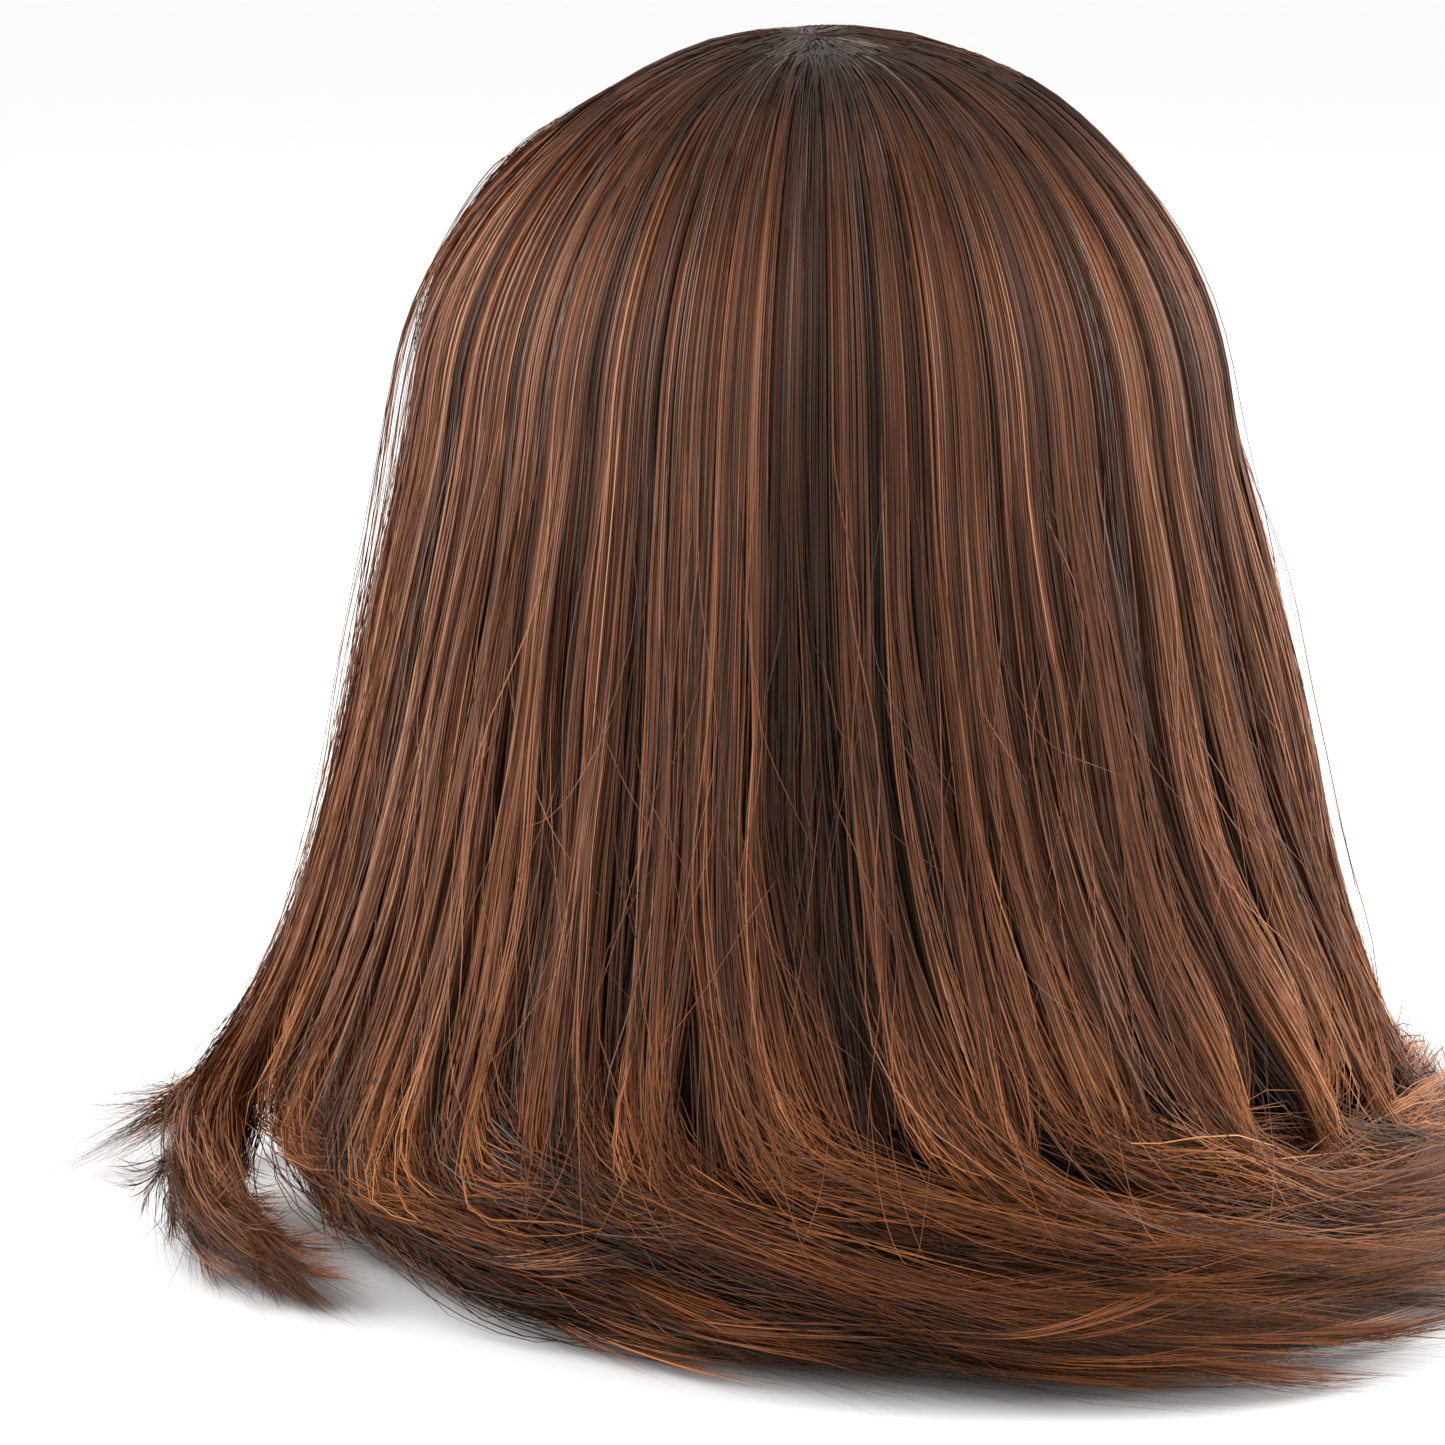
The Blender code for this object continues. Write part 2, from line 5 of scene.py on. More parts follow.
import bpy
import numpy as np
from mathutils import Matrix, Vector


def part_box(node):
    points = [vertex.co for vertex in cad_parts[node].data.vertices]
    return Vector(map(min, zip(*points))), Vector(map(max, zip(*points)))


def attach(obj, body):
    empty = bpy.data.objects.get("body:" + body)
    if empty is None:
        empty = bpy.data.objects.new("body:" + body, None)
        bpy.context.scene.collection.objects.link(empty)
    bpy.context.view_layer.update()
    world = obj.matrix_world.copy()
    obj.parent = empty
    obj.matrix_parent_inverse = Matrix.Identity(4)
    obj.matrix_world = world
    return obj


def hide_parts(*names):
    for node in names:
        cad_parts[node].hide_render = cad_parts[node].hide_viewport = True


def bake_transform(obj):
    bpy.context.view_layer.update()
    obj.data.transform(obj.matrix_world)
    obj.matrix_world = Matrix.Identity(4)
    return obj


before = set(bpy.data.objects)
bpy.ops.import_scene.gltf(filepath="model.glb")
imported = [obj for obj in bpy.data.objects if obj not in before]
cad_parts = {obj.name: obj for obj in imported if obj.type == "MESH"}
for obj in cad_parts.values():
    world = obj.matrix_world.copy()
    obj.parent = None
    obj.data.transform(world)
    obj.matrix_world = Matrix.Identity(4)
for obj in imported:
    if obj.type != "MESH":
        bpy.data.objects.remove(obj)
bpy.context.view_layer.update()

# Lengths are in metres. Azimuths go round +Z from the face: psi and azimuth are in radians, psi_deg
# in degrees. Every random generator has a fixed seed, so each run gives the same hair.
SIDES = ((1, "left"), (-1, "right"))
SKULL_Z = 0.178  # height where the skull is widest
HAIR_X = 0.0865  # half sizes of the hair over the skull
HAIR_Y = -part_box("hair_fringe")[0].y - 0.002
HAIR_Z = 0.088
BELL_SLOPE = 0.20  # how much the fall spreads on its way down
FLARE = 0.070  # extra spread at the ground, which dies away upwards over FLARE_FALL
FLARE_FALL = 0.022
LAYER = 0.0085  # thickness of the outer hair
TEMPLE = 46.0  # the long hair goes from here round the back to 360 - TEMPLE
CLUMPS = 2000  # no row of clumps has more than this
STRAND = 0.00025  # a strand's width
STEPS = 40  # points along a long strand


def smooth(low, high, x):
    t = np.clip((x - low) / (high - low), 0.0, 1.0)
    return t * t * (3.0 - 2.0 * t)


def reach(psi):
    """Distance from the axis to the outside of the hair at the widest part of the skull."""
    return 1.0 / np.hypot(np.sin(psi) / HAIR_X, np.cos(psi) / HAIR_Y)


# Locks: first and last azimuth at the crown, height in millimetres where the lock leaves the fall,
# share of the full flare there, then four places along the ground: azimuth, radius, height, half
# width and half height, in degrees and millimetres.
LOCKS = (
    (46, 52, 42, 1, (51, 138, 20, 4, 6), (53, 150, 12, 3, 4),
     (55, 160, 9, 2.5, 3), (57.5, 171, 8, 1, 1.5)),
    (52, 63, 43, 0.98, (64, 140, 20, 7, 9), (77, 148, 13, 7, 8),
     (89, 146, 8, 6, 6), (100, 139, 4, 3, 3)),
    (63, 74, 41, 0.93, (73, 137, 19, 7, 9), (84, 143, 12, 6, 7),
     (93, 141, 8, 5, 5), (102, 135, 4, 3, 3)),
    (74, 86, 38, 0.8, (80, 119, 18, 7, 8), (92, 110, 12, 7, 8),
     (112, 107, 8, 8, 7), (140, 128, 5, 6, 3)),
    (86, 98, 38, 0.75, (94, 115, 21, 7, 9), (110, 106, 19, 7, 8),
     (129, 112, 14, 7, 8), (149, 133, 6, 5, 4)),
    (98, 110, 38, 0.8, (109, 121, 17, 9, 9), (128, 117, 11, 9, 8),
     (152, 134, 8, 9, 7), (182, 157, 4, 6, 3)),
    (110, 123, 42, 0.7, (123, 120, 25, 9, 10), (143, 125, 20, 9, 10),
     (166, 137, 13, 9, 9), (190, 149, 8, 7, 6)),
    (123, 136, 46, 0.6, (139, 124, 24, 10, 10), (157, 138, 15, 10, 9),
     (178, 153, 9, 9, 7), (200, 168, 4, 7, 4)),
    (136, 149, 54, 0.6, (154, 123, 31, 9, 10), (170, 134, 24, 9, 10),
     (188, 140, 18, 9, 9), (208, 146, 10, 7, 6)),
    (149, 161, 58, 0.6, (167, 128, 30, 10, 10), (183, 140, 18, 9, 9),
     (201, 153, 10, 8, 7), (219, 166, 4, 6, 3)),
    (161, 173, 59, 0.6, (179, 126, 34, 9, 10), (194, 136, 26, 9, 10),
     (211, 142, 17, 8, 8), (230, 149, 8, 6, 5)),
    (173, 185, 56, 0.65, (191, 130, 27, 10, 10), (206, 141, 16, 9, 9),
     (223, 153, 8, 8, 7), (242, 165, 4, 6, 3)),
    (185, 197, 52, 0.65, (203, 129, 26, 9, 10), (218, 137, 18, 9, 10),
     (236, 144, 13, 8, 8), (255, 154, 8, 6, 5)),
    (197, 210, 52, 0.65, (216, 133, 20, 10, 10), (233, 142, 12, 9, 10),
     (251, 155, 7, 8, 7), (270, 167, 4, 6, 3)),
    (210, 223, 50, 0.65, (229, 131, 22, 9, 10), (245, 138, 16, 9, 10),
     (263, 148, 11, 8, 8), (282, 154, 7, 6, 5)),
    (223, 236, 46, 0.65, (241, 132, 17, 9, 10), (258, 144, 11, 9, 10),
     (276, 154, 6, 8, 7), (294, 165, 4, 6, 3)),
    (236, 249, 44, 0.65, (253, 129, 18, 9, 10), (270, 139, 14, 9, 10),
     (288, 146, 10, 8, 8), (307, 152, 7, 6, 5)),
    (249, 262, 40, 0.65, (266, 129, 15, 9, 10), (283, 141, 10, 9, 9),
     (301, 151, 6, 8, 7), (319, 162, 4, 5, 3)),
    (262, 275, 47, 0.65, (279, 126, 23, 9, 10), (296, 136, 18, 8, 9),
     (314, 143, 11, 8, 8), (333, 150, 6, 5, 5)),
    (275, 288, 50, 0.7, (292, 128, 24, 9, 10), (309, 139, 15, 9, 9),
     (327, 149, 8, 7, 7), (344, 158, 4, 4, 3)),
    (288, 301, 48, 0.7, (304, 127, 26, 8, 10), (319, 136, 18, 8, 9),
     (336, 143, 10, 7, 7), (353, 149, 5, 4, 3)),
    (301, 314, 46, 0.8, (314, 132, 23, 7, 10), (328, 143, 12, 7, 8),
     (342, 152, 6, 5, 5), (357, 164, 3, 3, 2)),
)
TILTS = (0.0, 7.0, 18.0, 32.0, 47.0, 62.0, 76.0, 90.0)  # degrees from the top, over the skull
FALLS = (0.2, 0.4, 0.6, 0.8, 1.0)  # shares of the way down to the leaving height
STATIONS = 4
ON_GROUND = (0.68, 0.8)  # shares of a long strand's length between which it reaches the ground
WHORL = (Vector((0.003, 0.000)), Vector((0.014, 0.023)))  # the parting's two ends, from above
LOCK_HEADS = np.array([lock[:4] for lock in LOCKS], float)
LOCK_GROUNDS = np.array([lock[4:] for lock in LOCKS], float)  # in radians and metres
LOCK_GROUNDS[..., 0] = np.radians(LOCK_GROUNDS[..., 0])
LOCK_GROUNDS[..., 1:] /= 1000.0


def spline_weights(controls, steps):
    """Weights of a clamped uniform cubic B-spline at even steps."""
    degree = 3
    inner = np.arange(1, controls - degree)
    knots = np.concatenate([np.zeros(degree + 1), inner, np.full(degree + 1, controls - degree)])
    t = np.linspace(0, controls - degree - 1e-9, steps)
    weights = ((t[:, None] >= knots[None, :-1]) & (t[:, None] < knots[None, 1:])).astype(float)
    for d in range(1, degree + 1):
        left = knots[d:-1] - knots[:-d - 1]
        right = knots[d + 1:] - knots[1:-d]
        up = (t[:, None] - knots[None, :-d - 1]) / np.where(left > 0, left, 1) * (left > 0)
        down = (knots[None, d + 1:] - t[:, None]) / np.where(right > 0, right, 1) * (right > 0)
        weights = up * weights[:, :-1] + down * weights[:, 1:]
    return weights


def curve(controls, steps):
    """Points at even steps along each strand's spline."""
    return np.einsum("mk,nkc->nmc", spline_weights(controls.shape[1], steps), controls)


def bell(z, psi, flare):
    """How far the fall stands out from the skull's widest level, with a bulge at its two sides."""
    below = SKULL_Z - z
    right = 0.0045 * np.maximum(np.cos(psi - math.radians(240)), 0)
    right = right * smooth(0.0, 0.03, below + 0.012)
    left = 0.0026 * np.maximum(np.cos(psi - math.radians(62)), 0) * smooth(0.0, 0.04, below)
    rest = math.exp(-SKULL_Z / FLARE_FALL)
    return BELL_SLOPE * below + FLARE * flare * (np.exp(-z / FLARE_FALL) - rest) + (right + left)


def polar_points(azimuth, radius, z):
    x, y = radius * np.sin(azimuth), -radius * np.cos(azimuth)
    return np.stack(np.broadcast_arrays(x, y, z), axis=-1)


def crown_height(psi):
    """The hair is a little flatter over the forehead and fuller over the back right."""
    return HAIR_Z - 0.0035 * (0.5 + 0.5 * np.cos(psi - math.radians(40))) ** 2


def over_skull(psi, depth, first_tilt):
    """Control points over the skull, one for each of TILTS, and their angles from the vertical."""
    share = np.array(TILTS)[None, :] / 90.0
    tilt = first_tilt + (math.pi / 2 - first_tilt) * share
    swell = 1.0115 + 0.012 * (share < 0.3) - 0.075 * (share == 0)
    radius = (reach(psi) * swell - depth) * np.sin(tilt)
    height = SKULL_Z + (crown_height(psi) * swell - depth) * np.cos(tilt)
    return polar_points(psi, radius, height), tilt


def to_parting(points, tilt, first_tilt, along):
    """Moves the first control points of the strands that start at the crown onto the parting."""
    at_crown = np.clip(1.0 - (first_tilt - 0.05) / 0.25, 0, 1)
    pull = at_crown * np.clip(1.0 - tilt / 0.75, 0, 1) ** 1.5
    scatter = np.random.default_rng(81).normal(0, 0.0017, (2, len(points), 1))
    first, last = WHORL
    points[..., 0] += (first.x + (last.x - first.x) * along + scatter[0]) * pull
    points[..., 1] += (first.y + (last.y - first.y) * along + scatter[1]) * pull
    off_centre = (points[..., 0] / HAIR_X) ** 2 + (points[..., 1] / HAIR_Y) ** 2
    top = SKULL_Z + (HAIR_Z + 0.002) * np.sqrt(np.clip(1.0 - off_centre, 0.02, 1))
    top = top - 0.0030 * (tilt <= first_tilt + 1e-6)
    points[..., 2] = points[..., 2] * (1 - pull) + top * pull


def lock_places(index, v):
    """Azimuth, radius, height, half width and half height of each strand's lock at v.

    v is 0 at the first place on the ground and 1 at the last, and may go a little past it."""
    stations = LOCK_GROUNDS[index]
    place = np.clip(v * (STATIONS - 1), 0, STATIONS - 1 + 0.5)
    low = np.clip(np.floor(place).astype(int), 0, STATIONS - 2)
    share = (place - low)[..., None]
    rows = np.arange(len(index))[:, None]
    value = stations[rows, low] * (1 - share) + stations[rows, low + 1] * share
    value[..., 3:] = np.maximum(value[..., 3:], 0.0008)
    value[..., 2] = np.maximum(value[..., 2], 0.002)
    return tuple(value[..., i] for i in range(5))


def long_controls(psi, depth, first_tilt, along, index, across, low_in, end, extra, early=0.0):
    """Control points of strands that fall to the ground.

    extra moves the fall sideways, in radians, and outwards. early raises the fall's end."""
    centre = np.radians((LOCK_HEADS[:, 0] + LOCK_HEADS[:, 1]) / 2)
    leave = (np.interp(psi, centre, LOCK_HEADS[:, 2] / 1000.0) + early)[:, None]
    flare = 0.5 * np.interp(psi, centre, LOCK_HEADS[:, 3]) + 0.5 * LOCK_HEADS[index, 3]
    psi, depth, first_tilt, along = (v[:, None] for v in (psi, depth, first_tilt, along))
    points, tilt = over_skull(psi, depth, first_tilt)
    to_parting(points, tilt, first_tilt, along)
    z = SKULL_Z + (leave - SKULL_Z) * np.array(FALLS)[None, :]
    behind_temples = np.clip(psi, *np.radians((TEMPLE + 1, 359 - TEMPLE)))
    radius = reach(behind_temples) - depth + bell(z, psi, flare[:, None]) + extra[1]
    fall = polar_points(psi + extra[0], radius, z)
    v = np.linspace(0, 1, STATIONS)[None, :] * end[:, None]
    azimuth, radius, height, half_w, half_h = lock_places(index, v)
    step = np.gradient(radius, axis=1)
    arc = radius * np.gradient(azimuth, axis=1)
    size = np.sqrt(step * step + arc * arc) + 1e-9
    off = -across * half_w
    azimuth = azimuth - step / size * off / radius
    radius = radius + arc / size * off
    height = height + low_in * half_h
    ground = polar_points(azimuth, radius, np.maximum(height, 0.0005))
    return np.concatenate([points, fall, ground], axis=1)


def outward_of(points):
    """A direction away from the head at each point, upwards on the crown and on the ground."""
    radial = points.copy()
    radial[..., 2] = 0
    size = np.linalg.norm(radial, axis=2, keepdims=True) + 1e-9
    radial /= size
    z = points[..., 2:]
    lift = np.clip((z - SKULL_Z) / 0.06, 0, 1.4) + 1.5 * np.clip(1 - z / 0.04, 0, 1)
    radial[..., 2:] = 0.2 + lift
    return radial / np.linalg.norm(radial, axis=2, keepdims=True)


def clumped(psi_deg, spacing, low, high, seed):
    """For each strand its clump's middle azimuth, its place across the clump, and the clump."""
    count = int((high - low) / spacing)
    middles = np.sort(np.random.default_rng(seed).uniform(low, high, count))
    edges = (middles[1:] + middles[:-1]) / 2
    index = np.searchsorted(edges, psi_deg)
    bounds = np.concatenate([[low], edges, [high]])
    half = np.maximum((bounds[index + 1] - bounds[index]) / 2, 0.05)
    return middles[index], np.clip((psi_deg - middles[index]) / half, -1, 1), index


def clump_normal(seed, clump, spread):
    """A random value for each strand, the same all through its clump."""
    return np.random.default_rng(seed).normal(0, spread, CLUMPS)[clump]


def clump_uniform(seed, clump, low, high):
    return np.random.default_rng(seed).uniform(low, high, CLUMPS)[clump]


def waves(seed, count, steps, number=3):
    """Smooth random waves along each strand, about 1 high."""
    rng = np.random.default_rng(seed)
    along = np.linspace(0, 1, steps)[None, :]
    total = np.zeros((count, steps))
    for i in range(number):
        phase = rng.uniform(0, 2 * math.pi, count)[:, None]
        size = rng.normal(0, 1, count)[:, None] / (i + 1)
        total += size * np.sin(along * math.pi * (1.3 + 1.7 * i) + phase)
    return total


def add_layer(mesh, name, values):
    layer = mesh.attributes.new(name, "FLOAT", "POINT")
    layer.data.foreach_set("value", np.asarray(values, np.float32).reshape(-1))


def redness(height):
    """Saturation along the height: redder near the crown and near the ground than half way down."""
    return np.interp(height, (0.01, 0.04, 0.075, 0.20, 0.225, 0.245, 0.262),
                     (1.10, 1.08, 0.99, 0.92, 1.03, 1.08, 0.97))


def add_object(name, data):
    item = bpy.data.objects.new(name, data)
    bpy.context.scene.collection.objects.link(item)
    return item


def add_sheet(name, points, look, flipped=False, closed=False):
    """A smooth mesh of quads over a grid of points, closed round its columns if asked."""
    rows, columns = points.shape[:2]
    grid = np.arange(rows * columns).reshape(rows, columns)
    if closed:
        grid = np.column_stack([grid, grid[:, 0]])
    faces = np.stack([grid[:-1, :-1], grid[:-1, 1:], grid[1:, 1:], grid[1:, :-1]], axis=-1)
    faces = faces.reshape(-1, 4)[:, (0, 3, 2, 1) if flipped else (0, 1, 2, 3)]
    mesh = bpy.data.meshes.new(name)
    mesh.from_pydata(points.reshape(-1, 3).tolist(), [], faces.tolist())
    mesh.shade_smooth()
    mesh.materials.append(look)
    return add_object(name, mesh)


def ribbons(name, look, points, width, roll, tone):
    """A mesh of strands. Each is a thin strip whose face is turned by a roll about its length."""
    count, steps = points.shape[:2]
    along = np.gradient(points, axis=1)
    along /= np.linalg.norm(along, axis=2, keepdims=True) + 1e-12
    side = np.cross(outward_of(points), along)
    side /= np.linalg.norm(side, axis=2, keepdims=True) + 1e-12
    face = np.cross(along, side)
    half = side * np.cos(roll)[..., None] + face * np.sin(roll)[..., None]
    half = half * width[..., None] * 0.5
    verts = np.stack([points - half, points + half], axis=2)
    verts[..., 2] = np.maximum(verts[..., 2], 0.0002)
    verts = verts.reshape(-1, 3).astype(np.float32)
    base = (np.arange(count)[:, None] * steps + np.arange(steps - 1)[None, :]).reshape(-1) * 2
    quads = np.stack([base, base + 2, base + 3, base + 1], axis=1).astype(np.int32)
    mesh = bpy.data.meshes.new(name)
    mesh.vertices.add(len(verts))
    mesh.vertices.foreach_set("co", verts.reshape(-1))
    mesh.loops.add(quads.size)
    mesh.loops.foreach_set("vertex_index", quads.reshape(-1))
    mesh.polygons.add(len(quads))
    mesh.polygons.foreach_set("loop_start", np.arange(0, quads.size, 4, dtype=np.int32))
    mesh.update(calc_edges=True)
    mesh.shade_smooth()
    add_layer(mesh, "tone", np.repeat(tone.reshape(-1), 2))
    add_layer(mesh, "redness", np.repeat(redness(points[..., 2]).reshape(-1), 2))
    mesh.materials.append(look)
    return add_object(name, mesh)


def new_material(name, constants):
    """A material with these constants on its shader, and the material's nodes, links and shader."""
    mat = bpy.data.materials.new(name)
    mat.use_nodes = True
    nodes = mat.node_tree.nodes
    shader = nodes["Principled BSDF"]
    for socket, value in constants.items():
        shader.inputs[socket].default_value = value
    return mat, nodes, mat.node_tree.links, shader


def new_node(nodes, kind, constants):
    node = nodes.new("ShaderNode" + kind)
    for socket, value in constants.items():
        node.inputs[socket].default_value = value
    return node


def layer_value(nodes, name):
    """The output of a node that reads one of the mesh's own layers."""
    layer = nodes.new("ShaderNodeAttribute")
    layer.attribute_name = name
    return layer.outputs["Fac"]


def colour_ramp(nodes, stops):
    ramp = nodes.new("ShaderNodeValToRGB")
    elements = ramp.color_ramp.elements
    for element, (place, colour) in ((elements[0], stops[0]), (elements[1], stops[-1])):
        element.position = place
        element.color = (*colour, 1)
    for place, colour in stops[1:-1]:
        elements.new(place).color = (*colour, 1)
    return ramp


def hair_material(name):
    mat, nodes, links, shader = new_material(name, {
        "Roughness": 0.42, "Specular IOR Level": 0.36, "Specular Tint": (1.0, 0.75, 0.61, 1)})
    ramp = colour_ramp(nodes, (
        (0.0, (0.003, 0.001, 0.0005)), (0.28, (0.018, 0.006, 0.0028)),
        (0.5, (0.096, 0.031, 0.0135)), (0.72, (0.285, 0.102, 0.042)), (1.0, (0.62, 0.30, 0.14))))
    links.new(layer_value(nodes, "tone"), ramp.inputs["Fac"])
    dye = nodes.new("ShaderNodeHueSaturation")
    links.new(layer_value(nodes, "redness"), dye.inputs["Saturation"])
    links.new(ramp.outputs["Color"], dye.inputs["Color"])
    links.new(dye.outputs["Color"], shader.inputs["Base Color"])
    return mat


def lock_index(psi_deg):
    """The lock that each strand belongs to."""
    return np.clip(np.searchsorted(LOCK_HEADS[:, 0], psi_deg, side="right") - 1, 0, len(LOCKS) - 1)


def loosen_edges(rng, controls, psi_deg, share):
    """Lets a few outer strands bow away from the fall at the outline's left and right."""
    total = len(psi_deg)
    edge = smooth(100, 60, psi_deg)
    edge = edge + 0.5 * smooth(230, 250, psi_deg) * smooth(290, 265, psi_deg)
    apart = (rng.uniform(0, 1, total) < 0.07 * edge) & (share < 0.3)
    size = (apart * rng.uniform(0.001, 0.0065, total))[:, None, None]
    bulge = np.zeros(controls.shape[1])
    first, last = 3, len(TILTS) + len(FALLS)
    bulge[first:last] = np.sin(np.linspace(0, 1, last - first) * math.pi) ** 0.6
    away = outward_of(controls)
    away[..., 2] = 0
    controls += away * size * bulge[None, :, None]


def long_tones(rng, seed, u, psi_deg, share, low_in, lock, fine_clump, wide_clump):
    """Tones of the long strands at u, their shares of the length, with painted light and shade in
    them.
    """
    index, across = lock
    fine, fine_across = fine_clump
    wide, wide_across = wide_clump
    total = len(psi_deg)
    # Random tone for each clump and strand, with painted shade that darkens strands towards the
    # edges of their fine and wide clumps.
    varied = clump_normal(5, fine, 0.048) + rng.normal(0, 0.085, total)
    varied = varied + clump_normal(6, wide, 0.03) - 0.06 * fine_across ** 2
    pale_streak = rng.uniform(0, 1, total) < 0.05
    varied = varied + pale_streak * 0.10 - 0.21 * np.abs(wide_across) ** 3 + 0.03
    # Painted light and shade round the head: lighter at the outline's two sides, darker where the
    # hair faces the camera.
    painted_side_light = 0.075 * np.cos(2 * (np.radians(psi_deg) - math.radians(60)))
    # Painted shade: strands further inside the hair are darker.
    tone = (0.553 - 0.32 * share + painted_side_light)[:, None]
    # Painted highlights, copper coloured, near the outline at its two sides.
    painted_copper_highlight = 0.035 * np.exp(-((psi_deg - 62) / 18) ** 2)
    painted_copper_highlight = painted_copper_highlight + 0.035 * np.exp(-((psi_deg - 240) / 16) ** 2)
    tone = tone + painted_copper_highlight[:, None] + varied[:, None] * (0.45 + 0.55 * smooth(0.08, 0.4, u))
    ground = smooth(*ON_GROUND, u)
    ground_tone = np.interp(psi_deg, (46, 90, 130, 170, 314), (0.06, 0.045, 0.06, 0.105, 0.10))
    lock_tone = np.random.default_rng(8).normal(0, 0.04, len(LOCKS))[index]
    tone = tone + (lock_tone[:, None] + ground_tone[:, None]) * ground
    # On the ground: random tone for each clump, and painted light that makes strands higher up in
    # their lock lighter.
    random_tone_and_painted_top_light = clump_normal(9, fine, 0.065)[:, None] + 0.08 * low_in.mean(axis=1, keepdims=True)
    # Painted shade in the hollows between the locks on the ground, darker towards a lock's sides.
    painted_hollow_shade = np.interp(psi_deg, (60, 80, 130, 160), (0.15, 0.30, 0.28, 0.16))
    painted_hollow_shade = painted_hollow_shade * np.minimum(across ** 2, 1)
    tone = tone + (random_tone_and_painted_top_light - painted_hollow_shade[:, None]) * ground
    # Painted shade darkens the strands near their roots, and a faint painted sheen brightens a band
    # about three tenths of the way along.
    tone = tone - 0.30 * (1.0 - smooth(0.0, 0.27, u)) + 0.03 * np.exp(-((u - 0.30) / 0.07) ** 2)
    return tone + 0.03 * smooth(0.7, 0.95, u) + 0.03 * waves(seed + 6, total, STEPS, 2)


def long_hair(seed, total):
    """Azimuths, points, widths, rolls and tones of all strands that fall to the ground."""
    rng = np.random.default_rng(seed)
    low, high = TEMPLE, 360 - TEMPLE
    psi_deg = rng.uniform(low - 3, high + 3, total)
    share = rng.uniform(0, 1, total) ** 2.0  # 0 at the outside of the hair, 1 at the inside
    sway = 1.6 * waves(3, 1, 2)[0, 0]
    index = lock_index(psi_deg + sway * np.sin(psi_deg * 0.9) + rng.normal(0, 0.8, total))
    heads = LOCK_HEADS[index, :2]
    across = np.clip((psi_deg - heads.mean(axis=1)) / (heads[:, 1] - heads[:, 0]) * 2, -1.2, 1.2)

    # Fine clumps, gathered in wide ones
    nudged = psi_deg + rng.normal(0, 0.25, total)
    fine_at, fine_across, fine = clumped(nudged, 0.60, low - 4, high + 4, 11)
    _, wide_across, wide = clumped(fine_at, 3.8, low - 4, high + 4, 12)

    # The fall: each strand's way sideways and outwards
    falls = len(FALLS)
    drift = waves(13, CLUMPS, falls)[fine] * 0.010 + waves(14, CLUMPS, falls, 2)[wide] * 0.016
    own = waves(seed + 1, total, falls) * rng.uniform(0.001, 0.012, total)[:, None]
    pull = rng.uniform(0.1, 0.9, total)[:, None] * clump_uniform(15, fine, 0.4, 1)[:, None]
    gather = np.radians(fine_at - psi_deg)[:, None] * pull * np.linspace(0.3, 1, falls)[None, :]
    sideways = gather + (drift + own) * np.linspace(0.4, 1.2, falls)[None, :]
    lift = waves(seed + 2, total, falls) * 0.0007 + waves(16, CLUMPS, falls)[wide] * 0.0012
    flyaway = rng.uniform(0, 1, total) < 0.02
    lift = lift + flyaway[:, None] * rng.uniform(0.001, 0.005, total)[:, None]
    sideways = sideways + flyaway[:, None] * waves(seed + 3, total, falls) * 0.05
    depth = LAYER * share
    relief = (fine_across ** 2) * 0.0008 + np.abs(wide_across) ** 3 * 0.0037
    lift = lift - relief[:, None] * np.array([[0.4, 0.8, 1.0, 1.0, 1.0]])
    lean = np.interp(psi_deg, (46, 80, 105, 130, 150, 185, 230, 290, 314),
                     (-3, -6, -3, 2, 6.5, 12, 13.5, 10, 5))
    early = clump_normal(23, fine, 0.006) + rng.normal(0, 0.006, total)
    sideways = sideways + np.radians(lean)[:, None] * np.array([[0.02, 0.12, 0.3, 0.6, 1.0]])

    # The start: at the parting, or for some strands lower on the skull
    tilt = np.where(rng.uniform(0, 1, total) < 0.3, rng.uniform(8, 50, total), 0.0)
    tilt = np.where(share < 0.12, np.minimum(tilt, 20), tilt)
    line = 0.5 - 0.55 * np.cos(np.radians(psi_deg) + 0.2) + rng.normal(0, 0.22, total)
    line = np.clip(line, 0, 1)

    # The part on the ground: where it ends, and its place across and up its lock
    end = np.clip(clump_uniform(17, fine, 0.50, 1.08) + rng.normal(0, 0.10, total), 0.35, 1.14)
    gathering = np.array([[0.30, 0.26, 0.18, 0.10]])
    tuft = waves(18, CLUMPS, STATIONS)[fine] * np.array([[0.3, 0.42, 0.5, 0.6]])
    tuft_up = waves(19, CLUMPS, STATIONS)[fine] * np.array([[0.3, 0.5, 0.6, 0.7]])
    spread = (across * 0.65)[:, None] + tuft + waves(seed + 4, total, STATIONS) * gathering
    loose = rng.uniform(0, 1, total)[:, None] < 0.05
    spread = np.where(loose, spread * 1.4, np.clip(spread, -1.1, 1.1))
    low_in = (1.0 - 1.9 * share)[:, None] * np.array([[1, 0.9, 0.7, 0.4]]) + tuft_up
    low_in = low_in + waves(seed + 5, total, STATIONS) * gathering * 1.4
    controls = long_controls(np.radians(psi_deg), depth, np.radians(tilt), line, index, spread,
                             low_in, end, (sideways, lift), np.clip(early, -0.016, 0.016))
    fray = rng.normal(0, 1, (total, 3)) * (0.25 + rng.uniform(0, 1, total)[:, None] ** 4)
    tuft_end = np.random.default_rng(24).normal(0, 1, (CLUMPS, 3))[fine]
    controls[:, -1] += fray * 0.0060 + tuft_end * 0.0060
    controls[:, -2] += fray * 0.0015 + tuft_end * 0.0022
    loosen_edges(rng, controls, psi_deg, share)
    controls[..., 2] = np.maximum(controls[..., 2], 0.0006)
    points = curve(controls, STEPS)

